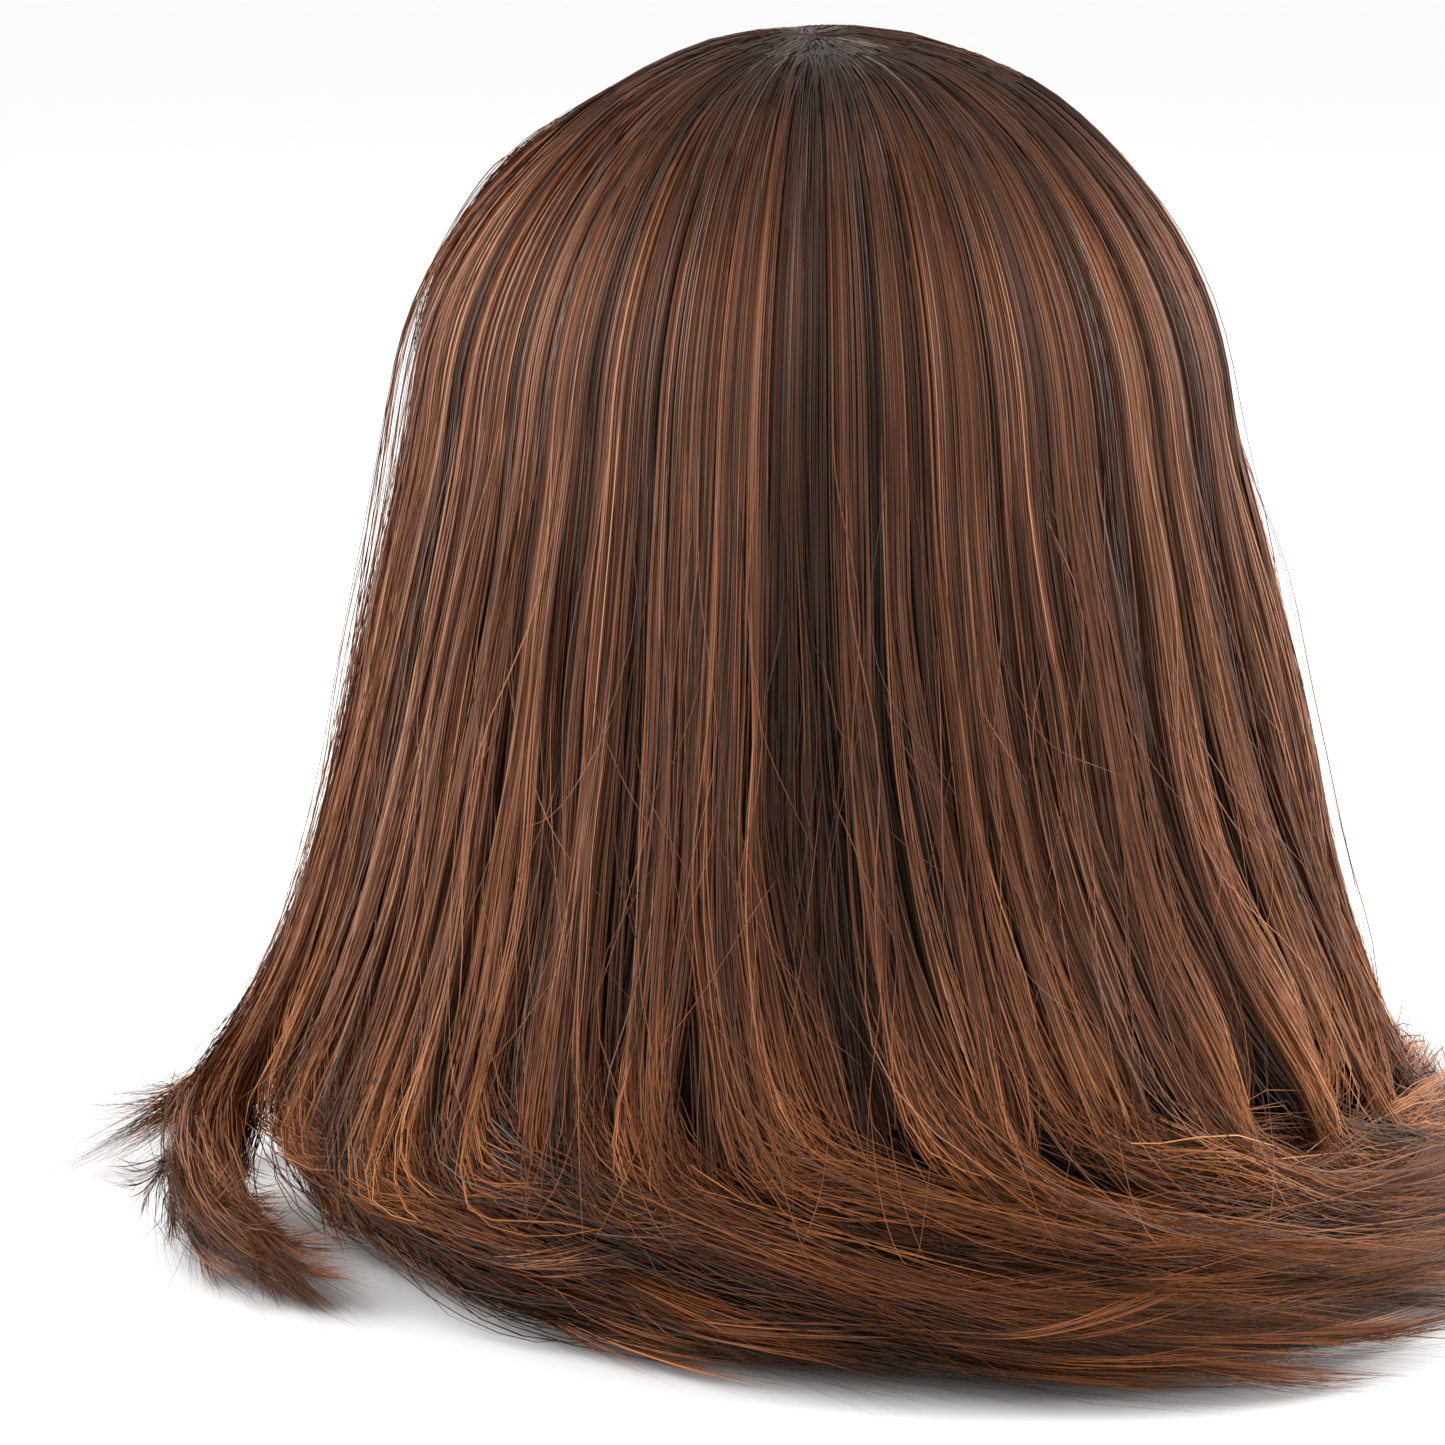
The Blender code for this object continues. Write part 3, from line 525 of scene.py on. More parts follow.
    u = np.linspace(0, 1, STEPS)[None, :]
    tone = long_tones(rng, seed, u, psi_deg, share, low_in, (index, across), (fine, fine_across),
                      (wide, wide_across))
    thin = 1.0 - 0.05 * smooth(*ON_GROUND, u) - 0.9 * smooth(0.92, 1.0, u)
    width = STRAND * rng.uniform(0.6, 1.35, total)[:, None] * thin
    roll = rng.normal(0, 0.6, total)[:, None] + 0.35 * waves(seed + 7, total, STEPS, 2)
    return psi_deg, points, width, roll, tone


ZONES = (
    ("hair_temple_left", 46, 72, ("lock_front_left",)),
    ("hair_side_left", 72, 104, ("lock_left_fold",)),
    ("hair_back_outer_left", 104, 134, ("lock_back_left",)),
    ("hair_back_inner_left", 134, 165, ()),
    ("hair_back_centre", 165, 195, ("lock_back_centre",)),
    ("hair_back_inner_right", 195, 226, ("lock_back_right",)),
    ("hair_back_outer_right", 226, 256, ("lock_right_tail",)),
    ("hair_side_right", 256, 288, ("lock_side_right",)),
    ("hair_temple_right", 288, 314, ("lock_front_right", "lock_front_centre")),
)


def make_long_hair(look, per_degree):
    data = long_hair(21, int(per_degree * (360 - 2 * TEMPLE)))
    psi_deg = data[0]
    for name, first, last, locks in ZONES:
        first = first - 4 * (first == ZONES[0][1])
        last = last + 4 * (last == ZONES[-1][2])
        chosen = (psi_deg >= first) & (psi_deg < last)
        piece = ribbons(name + "_strands", look, *(values[chosen] for values in data[1:]))
        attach(piece, "head")
        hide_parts(name, *locks)


def make_tufts(look, tufts, per_tuft):
    """Short ends that stick out of the hair on the ground, in tufts that follow each lock."""
    rng = np.random.default_rng(91)
    total, count, steps = tufts * per_tuft, 6, 11
    tuft = np.repeat(np.arange(tufts), per_tuft)
    index = rng.integers(1, len(LOCKS), tufts)[tuft]
    start = rng.uniform(0.02, 0.80, tufts)[tuft] + rng.normal(0, 0.015, total)
    length = rng.uniform(0.20, 0.38, tufts)[tuft] * rng.uniform(0.8, 1.15, total)
    round_lock = np.radians(rng.uniform(-35, 190, tufts))[tuft] + rng.normal(0, 0.16, total)
    share = np.linspace(0, 1, count)[None, :]
    place = lock_places(index, start[:, None] + length[:, None] * share)
    azimuth, radius, height, half_w, half_h = place
    rise = 0.45 + 0.75 * share ** 0.8 + rng.uniform(-0.12, 0.22, tufts)[tuft][:, None] * share
    radius = radius + np.cos(round_lock)[:, None] * rise * np.maximum(half_w, 0.004)
    height = height + np.sin(round_lock)[:, None] * rise * np.maximum(half_h, 0.004)
    points = polar_points(azimuth, radius, np.maximum(height, 0.0012))
    aim = rng.normal(0, 1, (tufts, 3))[tuft] * 0.0050 + rng.normal(0, 1, (total, 3)) * 0.0016
    points += aim[:, None, :] * (share[..., None] ** 2)
    points[..., 2] = np.maximum(points[..., 2], 0.0006)
    points = curve(points, steps)
    u = np.linspace(0, 1, steps)[None, :]
    tone = (0.55 + rng.normal(0, 0.06, tufts)[tuft] + rng.normal(0, 0.07, total))[:, None]
    # Painted shade: the ends are darker where they come out of the hair.
    tone = tone - 0.30 * (1 - smooth(0.0, 0.5, u))
    width = STRAND * rng.uniform(0.5, 1.1, total)[:, None] * (1.0 - 0.9 * smooth(0.75, 1.0, u))
    roll = rng.normal(0, 0.6, total)[:, None] + 0.3 * waves(92, total, steps, 2)
    piece = ribbons("hair_tufts", look, points, width, roll, tone)
    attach(piece, "head")


def make_strays(look, total):
    """Single hairs that cross the others."""
    rng = np.random.default_rng(95)
    count, steps = 5, 22
    psi = np.radians(rng.uniform(70, 290, total))[:, None]
    z = rng.uniform(0.05, 0.15, total)[:, None]
    share = np.linspace(0, 1, count)[None, :]
    turn = rng.normal(0.07, 0.13, total)[:, None]
    drop = -rng.uniform(0.018, 0.06, total)[:, None]
    azimuth = psi + turn * share ** 1.5 + rng.normal(0, 0.006, (total, count))
    height = np.maximum(z + drop * share + rng.normal(0, 0.0015, (total, count)), 0.03)
    radius = reach(azimuth) + bell(height, azimuth, 0.75) + rng.uniform(-0.0005, 0.0035, (total, 1))
    points = polar_points(azimuth, radius + 0.0006 * rng.normal(0, 1, (total, count)), height)
    points = curve(points, steps)
    u = np.linspace(0, 1, steps)[None, :]
    tone = np.broadcast_to((0.57 + rng.normal(0, 0.07, total))[:, None], (total, steps))
    width = 0.00016 * np.ones((total, 1)) * (1.0 - 0.7 * np.abs(2 * u - 1) ** 3)
    piece = ribbons("hair_strays", look, points, width, 0.5 * waves(96, total, steps, 2), tone)
    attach(piece, "head")


def make_under_layer(look):
    """The hair under the outer strands, as one ridged sheet from the crown to near the ground,
    coloured dark as painted shade.
    """
    rng = np.random.default_rng(31)
    columns = 800
    psi_deg = np.linspace(TEMPLE, 360 - TEMPLE, columns)
    depth = 0.0070 + 0.0005 * rng.uniform(0, 1, columns)
    zero = np.zeros(columns)
    still = np.zeros((columns, len(FALLS)))
    centre = np.zeros((columns, STATIONS))
    controls = long_controls(np.radians(psi_deg), depth, zero, np.full(columns, 0.5),
                             lock_index(psi_deg), centre, centre, zero, (still, still))
    controls = controls[:, :len(TILTS) + len(FALLS)]
    foot_radius = np.interp(psi_deg, (46, 60, 75, 100, 130, 314),
                            (0.112, 0.104, 0.092, 0.092, 0.104, 0.110))
    foot_psi = np.radians(180 + (psi_deg - 180) * 0.91)
    for height in (0.014, 0.003):
        foot = polar_points(foot_psi, foot_radius, np.full(columns, height))
        controls = np.concatenate([controls, foot[:, None]], axis=1)
    points = curve(controls, STEPS)

    # The columns near the temples end higher up, behind the outer hair
    end = np.interp(psi_deg, (46, 60, 74, 262, 290, 314), (0.62, 0.78, 1.0, 1.0, 0.80, 0.62))
    place = np.linspace(0, STEPS - 1, STEPS)[None, :] * end[:, None]
    low = np.minimum(place.astype(int), STEPS - 2)
    share = (place - low)[..., None]
    column = np.arange(columns)[:, None]
    points = points[column, low] * (1 - share) + points[column, low + 1] * share
    piece = add_sheet("hair_under_layer", points, look, flipped=True)
    # Painted shade: the sheet is much darker than the outer strands.
    add_layer(piece.data, "tone", np.repeat(0.16 + rng.normal(0, 0.06, columns), STEPS))
    add_layer(piece.data, "redness", redness(points[..., 2]))
    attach(piece, "head")
    return piece


def make_fringe_and_top(look, total):
    """Strands from the crown forwards, in place of the fringe and the top's hair sections."""
    rng = np.random.default_rng(41)
    steps = 26
    psi_deg = rng.uniform(-TEMPLE - 5, TEMPLE + 5, total)
    share = rng.uniform(0, 1, total) ** 1.3
    at, across, fine = clumped(psi_deg, 1.7, -TEMPLE - 6, TEMPLE + 6, 42)
    psi = np.radians(psi_deg)[:, None]
    depth = (0.0060 * share + 0.0012 * across ** 2)[:, None]
    first = np.where(rng.uniform(0, 1, total) < 0.3, rng.uniform(10, 48, total), 0.0)
    first = np.radians(first)[:, None]
    line = np.clip(0.1 + rng.normal(0, 0.2, total), 0, 1)[:, None]
    points, tilt = over_skull(psi, depth, first)
    to_parting(points, tilt, first, line)
    pull = clump_uniform(43, fine, 0.2, 0.8) * rng.uniform(0.5, 1.1, total)
    turn = np.radians(at - psi_deg) * pull
    turn = turn[:, None] * smooth(0.4, 1.4, tilt) + waves(44, total, len(TILTS)) * 0.012
    turn = turn + waves(45, CLUMPS, len(TILTS))[fine] * 0.02 * smooth(0.2, 1.0, tilt)
    x, y = points[..., 0].copy(), points[..., 1].copy()
    points[..., 0] = x * np.cos(turn) - y * np.sin(turn)
    points[..., 1] = x * np.sin(turn) + y * np.cos(turn)
    drop = clump_normal(46, fine, 0.0028) + rng.normal(0, 0.0018, total)
    points[:, -1, :2] *= 0.985
    points[:, -1, 2] += 0.002 + drop
    puff = 0.0030 * np.sin(np.clip((tilt - 0.6) / 1.0, 0, 1) * math.pi)[..., None]
    points += outward_of(points) * puff
    points = curve(points, steps)
    u = np.linspace(0, 1, steps)[None, :]
    tone = 0.55 + clump_normal(47, fine, 0.06) + rng.normal(0, 0.10, total)
    # Painted shade: darker on the strands further inside the hair and near the roots.
    tone = (tone - 0.28 * share)[:, None]
    tone = tone - 0.24 * (1.0 - smooth(0.0, 0.35, u)) + 0.05 * smooth(0.3, 0.8, u)
    width = STRAND * rng.uniform(0.55, 1.3, total)[:, None] * (1.0 - 0.75 * smooth(0.85, 1.0, u))
    roll = rng.normal(0, 0.6, total)[:, None] + 0.3 * waves(48, total, steps, 2)
    piece = ribbons("hair_fringe_strands", look, points, width, roll, tone)
    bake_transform(piece)
    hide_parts("hair_fringe", "hair_top_left", "hair_top_right")


# The moulded head's levels below its widest one: height, half width, front y and back y.
LEVELS = (
    (0.000, 0.0580, -0.0480, 0.0680), (0.006, 0.0572, -0.0472, 0.0672),
    (0.020, 0.0522, -0.0432, 0.0630), (0.032, 0.0500, -0.0455, 0.0607),
    (0.040, 0.0498, -0.0600, 0.0607), (0.047, 0.0500, -0.0790, 0.0610),
    (0.060, 0.0540, -0.0862, 0.0630), (0.080, 0.0610, -0.0885, 0.0680),
    (0.105, 0.0670, -0.0892, 0.0770), (0.135, 0.0712, -0.0892, 0.0860),
    (0.178, 0.0740, -0.0900, 0.0900),
)
SKIN_HALF = (0.074, 0.090, 0.079)  # half sizes above the widest level
MM_PER_DEGREE = 1.55  # over the face
OFF_FACE = 999.0  # a place sideways, in millimetres, that no soft form reaches
# Soft forms of the face, in millimetres: sideways, height, spread sideways, spread in height and
# push outwards. Those off the middle are on both sides.
FORMS = (
    (0, 89, 25, 15, 3.4), (0, 59, 13, 9.5, 5.2), (0, 75, 16, 4.5, -2.2), (0, 98.5, 2.6, 4.5, -1.1),
    (56, 126, 20, 15, 3.4), (36, 112, 14, 12, 1.0), (28, 101, 7, 13, -1.6), (27, 168, 17, 6.0, 2.6),
    (30, 152.5, 17, 10, -8.0), (13, 150, 6.5, 9, -2.8), (0, 169, 12, 8, 1.2), (0, 146, 7, 9, 1.6),
    (36, 54, 14, 10, -4.2), (58, 62, 16, 14, -1.8), (70, 140, 12, 20, -1.2), (44, 94, 12, 14, -1.6),
)
EYE_CENTRE = (0.0310, -0.0690, 0.1520)
EYE_TURN = math.radians(19)
EYE_BALL = (0.0170, 0.0104, 0.0125)
EYE_OPEN = (0.0138, 0.0053, 0.0041)  # half length, height above and depth below the middle
MOUTH_Z = 87.6  # millimetres


def level_outline(z):
    """Half width, front y and back y of the head at these heights."""
    heights, *sizes = (np.array(v) for v in zip(*LEVELS))
    widths, fronts, backs = (np.interp(z, heights, v) for v in sizes)
    up = np.clip((z - SKULL_Z) / SKIN_HALF[2], 0, 1)
    shrink = np.sqrt(np.maximum(1.0 - up * up, 1e-6))
    above = z > SKULL_Z
    return (np.where(above, SKIN_HALF[0] * shrink, widths),
            np.where(above, -SKIN_HALF[1] * shrink, fronts),
            np.where(above, SKIN_HALF[1] * shrink, backs))


def hump(x, z, x0, z0, wide, tall):
    return np.exp(-((x - x0) / wide) ** 2 - ((z - z0) / tall) ** 2)


def nose_height(x, z):
    """The nose, in millimetres outwards, over sideways and height in millimetres."""
    away = np.abs(x)
    z = z - 4.5 * np.clip((150 - z) / 35, 0, 1)
    ridge = np.interp(z, (98, 101.5, 104, 107, 111, 115, 122, 130, 138, 146, 152),
                      (0, 4.0, 12.0, 17.0, 19.4, 18.8, 14.8, 10.8, 7.2, 4.2, 1.0))
    wide = np.interp(z, (98, 104, 110, 116, 124, 134, 146), (5.6, 6.8, 7.8, 7.4, 6.0, 5.2, 6.2))
    nose = ridge * np.exp(-np.abs(x / wide) ** 2.3)
    skirt = np.interp(z, (99, 106, 122, 146), (0.0, 4.0, 3.4, 0.6)) * np.exp(-(x / 13.5) ** 2)
    wing = 7.6 * hump(away, z, 12.2, 106.5, 4.4, 5.0)
    crease = -1.5 * hump(away, z, 8.8, 111.5, 1.6, 3.2) - 1.3 * hump(away, z, 17.2, 108, 1.7, 5.5)
    nostril = -5.5 * hump(away, z, 6.0, 102.4, 2.6, 1.7)
    return np.maximum(nose, 0) + skirt + wing + crease + nostril


def lip_masks(x, z):
    """The mouth's line, its fade at the corners, and how far up or down its lip each point is."""
    away = np.abs(x)
    line = MOUTH_Z - 0.0016 * x * x + 0.5 * np.exp(-(x / 3.0) ** 2)
    side = np.clip(1.0 - (away / 25.0) ** 2.2, 0, 1)
    bow = 7.0 * side ** 0.75 - 1.1 * np.exp(-(x / 2.6) ** 2)
    bow = bow + 0.5 * np.exp(-((away - 5) / 3.0) ** 2)
    drop = 8.2 * np.clip(1.0 - (away / 22.0) ** 2.2, 0, 1) ** 0.7
    up = (z - line) / np.maximum(bow, 0.3)
    down = (line - z) / np.maximum(drop, 0.3)
    return line, side, up, down


def lip_round(place, middle, depth, edge):
    """The swell of one lip, from 0 at the mouth's line to 1 at the lip's edge."""
    bend = (np.clip(place, 0, 1) * 2 - middle) ** 2 / depth
    return np.sqrt(np.clip(1 - bend, 0, 1)) * (place > 0) * (place < edge)


def mouth_height(x, z):
    """The mouth, in millimetres outwards."""
    line, side, up, down = lip_masks(x, z)
    lips = 3.3 * lip_round(up, 0.9, 1.25, 1.05) * side ** 0.6
    lips = lips + 3.9 * lip_round(down, 0.95, 1.15, 1.1) * side ** 0.5
    groove = -2.0 * np.exp(-((z - line) / 0.9) ** 2) * side ** 0.3
    corner = -1.8 * hump(np.abs(x), z, 25.0, MOUTH_Z - 0.6, 3.0, 3.0)
    return lips + groove + corner


def eye_axes(side):
    """An eye's centre and its directions outwards and along the lids."""
    turn = side * EYE_TURN
    centre = np.array([side * EYE_CENTRE[0], EYE_CENTRE[1], EYE_CENTRE[2]])
    out = np.array([math.sin(turn), -math.cos(turn), 0])
    along = np.array([math.cos(turn), math.sin(turn), 0])
    return centre, out, along


def lens(du, dz):
    """How far the eyeball stands out, and where it does."""
    inside = 1.0 - (du / EYE_BALL[0]) ** 2 - (dz / EYE_BALL[2]) ** 2
    return EYE_BALL[1] * np.sqrt(np.clip(inside, 0, 1)), inside > 0.02


def eye_edges(du, side):
    """Upper and lower edge of the eye's opening, above and below its middle."""
    t = np.clip(np.abs(du) / EYE_OPEN[0], 0, 1)
    tilt = 0.0012 * side * du / EYE_OPEN[0]
    upper = EYE_OPEN[1] * (1 - t ** 2.4) + tilt
    lower = -EYE_OPEN[2] * (1 - t ** 2.0) + tilt
    return upper, lower


def add_lids(points):
    """Moves the skin round each eye into lids over a ball, and back out of the way in the opening.

    Returns how dark the liner along the lids' edges is at each point."""
    liner = np.zeros(points.shape[:-1])
    soft = 0.0016
    for side, _ in SIDES:
        centre, out, along = eye_axes(side)
        flat = points[..., :2] - centre[:2]
        du, dn, dz = flat @ along[:2], flat @ out[:2], points[..., 2] - centre[2]
        near = (np.abs(du) < 0.024) & (np.abs(dz) < 0.020) & (dn > -0.01)
        ball, inside = lens(du, dz)
        lid = np.where(inside, ball + 0.0013, -1.0)
        upper, lower = eye_edges(du, side)
        above_crease = dz - (upper + 0.0052 - 0.0012 * np.abs(du / EYE_OPEN[0]))
        lid = lid - 0.0009 * np.exp(-(above_crease / 0.0009) ** 2)
        mix = np.clip(0.5 + (lid - dn) / (2 * soft), 0, 1)
        raised = lid * mix + dn * (1 - mix) + soft * mix * (1 - mix)
        gap = np.minimum(upper - dz, dz - lower)
        opened = smooth(-0.0003, 0.0003, gap) * (np.abs(du) < EYE_OPEN[0])
        final = raised * (1 - opened) + (ball - 0.0024) * opened
        points[..., :2] += np.where(near, final - dn, 0.0)[..., None] * out[:2]
        edge = np.exp(-((dz - upper - 0.0004) / 0.0007) ** 2)
        edge = edge + 0.35 * np.exp(-((dz - lower + 0.0003) / 0.0005) ** 2)
        liner = np.maximum(liner, np.where(near & (np.abs(du) < EYE_OPEN[0] + 0.0006), edge, 0))
    return liner


def spaced(stops):
    """Values from the first stop to the last, with the step each stop asks for."""
    values = []
    for (low, step), (high, _) in zip(stops[:-1], stops[1:]):
        count = max(int(round((high - low) / step)), 1)
        values.extend(np.linspace(low, high, count, endpoint=False))
    return np.array(values + [stops[-1][0]])


def skin_material():
    mat, nodes, links, shader = new_material("moulded_skin", {
        "Roughness": 0.46, "Subsurface Weight": 0.12, "Subsurface Scale": 0.004})
    place = nodes.new("ShaderNodeTexCoord")
    mottle = new_node(nodes, "TexNoise", {"Scale": 38.0, "Detail": 5.0})
    tint = colour_ramp(nodes, ((0.3, (0.47, 0.265, 0.185)), (0.7, (0.54, 0.315, 0.225))))
    links.new(place.outputs["Object"], mottle.inputs["Vector"])
    links.new(mottle.outputs["Fac"], tint.inputs["Fac"])
    colour = tint.outputs["Color"]
    for name, paint in (("blush", (0.50, 0.17, 0.13, 1)), ("lips", (0.33, 0.095, 0.080, 1)),
                        ("liner", (0.035, 0.018, 0.014, 1))):
        mix = nodes.new("ShaderNodeMix")
        mix.data_type = "RGBA"
        mix.inputs["B"].default_value = paint
        links.new(layer_value(nodes, name), mix.inputs["Factor"])
        links.new(colour, mix.inputs["A"])
        colour = mix.outputs["Result"]
    links.new(colour, shader.inputs["Base Color"])
    pores = new_node(nodes, "TexNoise", {"Scale": 900.0})
    bump = new_node(nodes, "Bump", {"Strength": 0.12, "Distance": 0.0003})
    links.new(place.outputs["Object"], pores.inputs["Vector"])
    links.new(pores.outputs["Fac"], bump.inputs["Height"])
    links.new(bump.outputs["Normal"], shader.inputs["Normal"])
    return mat


def skin_grid():
    """Azimuths in radians, as one row, and heights, as one column, closer together on the face."""
    half = spaced(((0, 0.55), (22, 0.5), (50, 0.9), (62, 3), (140, 3)))
    degrees = half / MM_PER_DEGREE
    degrees = np.concatenate([degrees, np.linspace(degrees[-1] + 4, 180, 22)])
    azimuth = np.radians(np.concatenate([-degrees[1:-1][::-1], degrees]))
    rows = spaced(((0.0, 3.0), (36, 1.0), (60, 0.8), (72, 0.5), (96, 0.6), (120, 0.8), (142, 0.4),
                   (163, 1.0), (182, 3.0), (228, 2.0), (251, 0.8), (256.8, 0.8)))
    return azimuth[None, :], (rows / 1000.0)[:, None]


def skin_relief(x, tall, degrees):
    """The face's and ears' forms, in millimetres outwards, over x and tall in millimetres."""
    out = nose_height(x, tall) + mouth_height(np.clip(x, -60, 60), tall)
    for place, height, wide, rise, push in FORMS:
        for side in ((1, -1) if place else (1,)):
            out = out + push * hump(x, tall, side * place, height, wide, rise)
    for side, _ in SIDES:
        ear = np.hypot((degrees - side * 98) / 8.5, (tall - 142) / 24)
        out = out + 5.0 * smooth(1.25, 0.85, ear) - 3.0 * np.exp(-((ear - 0.55) / 0.16) ** 2)
    return out


def make_skin():
    """The skin, as a grid of columns round the head and rows up it."""
    azimuth, z = skin_grid()
    half_x, front, back = level_outline(z)
    half_y = (back - front) / 2
    radius = 1.0 / np.hypot(np.sin(azimuth) / half_x, np.cos(azimuth) / half_y)
    degrees = np.degrees(azimuth)
    x = np.where(np.abs(azimuth) < math.radians(75), degrees * MM_PER_DEGREE, OFF_FACE)
    x, tall = np.broadcast_arrays(x, z * 1000.0)
    radius = radius + skin_relief(x, tall, degrees) / 1000.0 * np.minimum(half_y / 0.05, 1)
    points = polar_points(azimuth, radius, z)
    points[..., 1] += (front + back) / 2
    liner = add_lids(points)
    _, side, up, down = lip_masks(x, tall)
    lips = smooth(1.06, 0.9, up) * (up > -0.01) + smooth(1.06, 0.9, down) * (down > 0)
    lips = 0.85 * np.clip(lips, 0, 1) * smooth(0.0, 0.08, side) * (np.abs(x) < 25)
    blush = 0.35 * hump(np.abs(x), tall, 44, 118, 16, 14) + 0.2 * hump(x, tall, 0, 108, 9, 7)
    skin = add_sheet("moulded_skin", points, skin_material(), closed=True)
    for name, values in (("lips", lips), ("liner", np.clip(liner, 0, 1)), ("blush", blush)):
        add_layer(skin.data, name, values)
    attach(skin, "head")
    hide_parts("head_skin")
    return skin


def eye_material():
    mat, nodes, links, shader = new_material("painted_eye", {
        "Roughness": 0.08, "Coat Weight": 0.15, "Specular IOR Level": 0.3})
    streaks = nodes.new("ShaderNodeTexNoise")
    streaks.noise_dimensions = "1D"
    streaks.inputs["Scale"].default_value = 9.0
    wobble = nodes.new("ShaderNodeMath")
    wobble.operation = "MULTIPLY_ADD"
    wobble.inputs[1].default_value = 0.10
    links.new(layer_value(nodes, "round_pupil"), streaks.inputs["W"])
    links.new(streaks.outputs["Fac"], wobble.inputs[0])
    links.new(layer_value(nodes, "from_pupil"), wobble.inputs[2])
    ramp = colour_ramp(nodes, (
        (0.0, (0.004, 0.003, 0.003)), (0.27, (0.006, 0.004, 0.003)), (0.31, (0.105, 0.042, 0.016)),
        (0.56, (0.055, 0.021, 0.009)), (0.68, (0.010, 0.005, 0.003)), (0.74, (0.50, 0.46, 0.43)),
        (1.0, (0.52, 0.45, 0.42))))
    links.new(wobble.outputs["Value"], ramp.inputs["Fac"])
    links.new(ramp.outputs["Color"], shader.inputs["Base Color"])
    return mat


def make_eye(side, word, look):
    """The front of a painted eye. from_pupil is in centimetres from the line of sight."""
    centre, out, along = eye_axes(side)
    du, dz = np.meshgrid(np.linspace(-0.0155, 0.0155, 90), np.linspace(-0.0085, 0.0085, 56))
    ball, _ = lens(du, dz)
    points = centre + du[..., None] * along + ball[..., None] * out
    points[..., 2] += dz
    sight = points[..., 0] - side * (EYE_CENTRE[0] + 0.0004)
    up = points[..., 2] - EYE_CENTRE[2] - 0.0004
    distance = np.hypot(sight, up) * 100
    cornea = 0.0009 * np.clip(1 - (distance / 0.66) ** 2, 0, 1)
    points = points + cornea[..., None] * np.array([0.0, -1.0, 0.0])
    eye = add_sheet(f"painted_eye_{word}", points, look)
    add_layer(eye.data, "from_pupil", distance)
    add_layer(eye.data, "round_pupil", np.arctan2(up, sight))
    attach(eye, "head")
    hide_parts(f"eye_{word}")


def dark_hair_material(name, colour):
    mat, nodes, links, shader = new_material(name, {"Roughness": 0.5})
    ramp = colour_ramp(nodes, ((0.0, [c * 0.5 for c in colour]), (1.0, [c * 1.6 for c in colour])))
    links.new(layer_value(nodes, "tone"), ramp.inputs["Fac"])
    links.new(ramp.outputs["Color"], shader.inputs["Base Color"])
    return mat


def make_lashes(side, word, look):
    rng = np.random.default_rng(61)
    count, steps = 150, 9
    du = np.linspace(-0.0128, 0.0134, count) + rng.normal(0, 0.0001, count)
    upper = eye_edges(du, side)[0]
    ball = lens(du, upper)[0]
    centre, out, along = eye_axes(side)
    outer = side * du / EYE_OPEN[0]
    length = ((0.0072 + 0.0020 * outer) * rng.uniform(0.75, 1.05, count))[:, None]
    t = np.linspace(0, 1, steps)[None, :]
    fan = (0.35 * du / EYE_OPEN[0])[:, None] + rng.normal(0, 0.07, count)[:, None]
    reach_out = (np.sin(t * 1.25) * 0.85) * length
    lift = (t ** 1.8 * 0.75) * length
    points = centre + (du[:, None] + fan * t * length)[..., None] * along
    points = points + (ball[:, None] + 0.0012 + reach_out)[..., None] * out
    points[..., 2] += upper[:, None] + 0.0002 + lift - 0.0006 * np.sin(t * math.pi)
    width = 0.00032 * (1.0 - 0.8 * t) * np.ones((count, 1))
    tone = np.broadcast_to(rng.uniform(0, 1, count)[:, None], (count, steps))
    roll = rng.normal(0, 0.7, (count, 1)) * np.ones((1, steps))
    piece = ribbons(f"lashes_{word}", look, points, width, roll, tone)
    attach(piece, "head")
    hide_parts(f"eyelash_{word}")


def front_of_skin(front, x, z):
    """The skin's y at each x and z, from its points that face forwards."""
    found = [front[np.argmin((front[:, 0] - px) ** 2 + (front[:, 2] - pz) ** 2), 1]
             for px, pz in zip(x.reshape(-1), z.reshape(-1))]
    return np.array(found).reshape(x.shape)


def make_brows(skin, look):
    rng = np.random.default_rng(71)
    co = np.empty(len(skin.data.vertices) * 3, np.float32)
    skin.data.vertices.foreach_get("co", co)
    front = co.reshape(-1, 3)
    front = front[front[:, 1] < -0.03]
    count, steps = 240, 6
    for side, word in SIDES:
        along = rng.uniform(0, 1, count)
        rise = np.interp(along, (0, 0.35, 0.68, 1), (0.1682, 0.1706, 0.1718, 0.1675))
        thick = np.interp(along, (0, 0.3, 0.75, 1), (0.0016, 0.0021, 0.0014, 0.0003))
        z0 = rise + rng.uniform(-1, 1, count) * thick
        x0 = 0.0150 + along * 0.034
        aim = np.interp(along, (0, 0.15, 0.6, 1), (0.95, 0.45, 0.05, -0.35))
        aim = aim + rng.normal(0, 0.14, count)
        length = rng.uniform(0.0045, 0.0075, count)
        t = np.linspace(0, 1, steps)[None, :]
        x = side * (x0[:, None] + np.cos(aim)[:, None] * length[:, None] * t)
        z = z0[:, None] + np.sin(aim)[:, None] * length[:, None] * (t - 0.35 * t * t)
        y = front_of_skin(front, x, z) - 0.00025
        points = np.stack([x, y, z], axis=-1)
        width = 0.00028 * (1 - 0.75 * t) * np.ones((count, 1))
        tone = np.broadcast_to(rng.uniform(0, 1, count)[:, None], (count, steps))
        roll = rng.normal(0, 0.3, (count, 1)) * np.ones((1, steps))
        piece = ribbons(f"brow_{word}", look, points, width, roll, tone)
        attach(piece, "head")


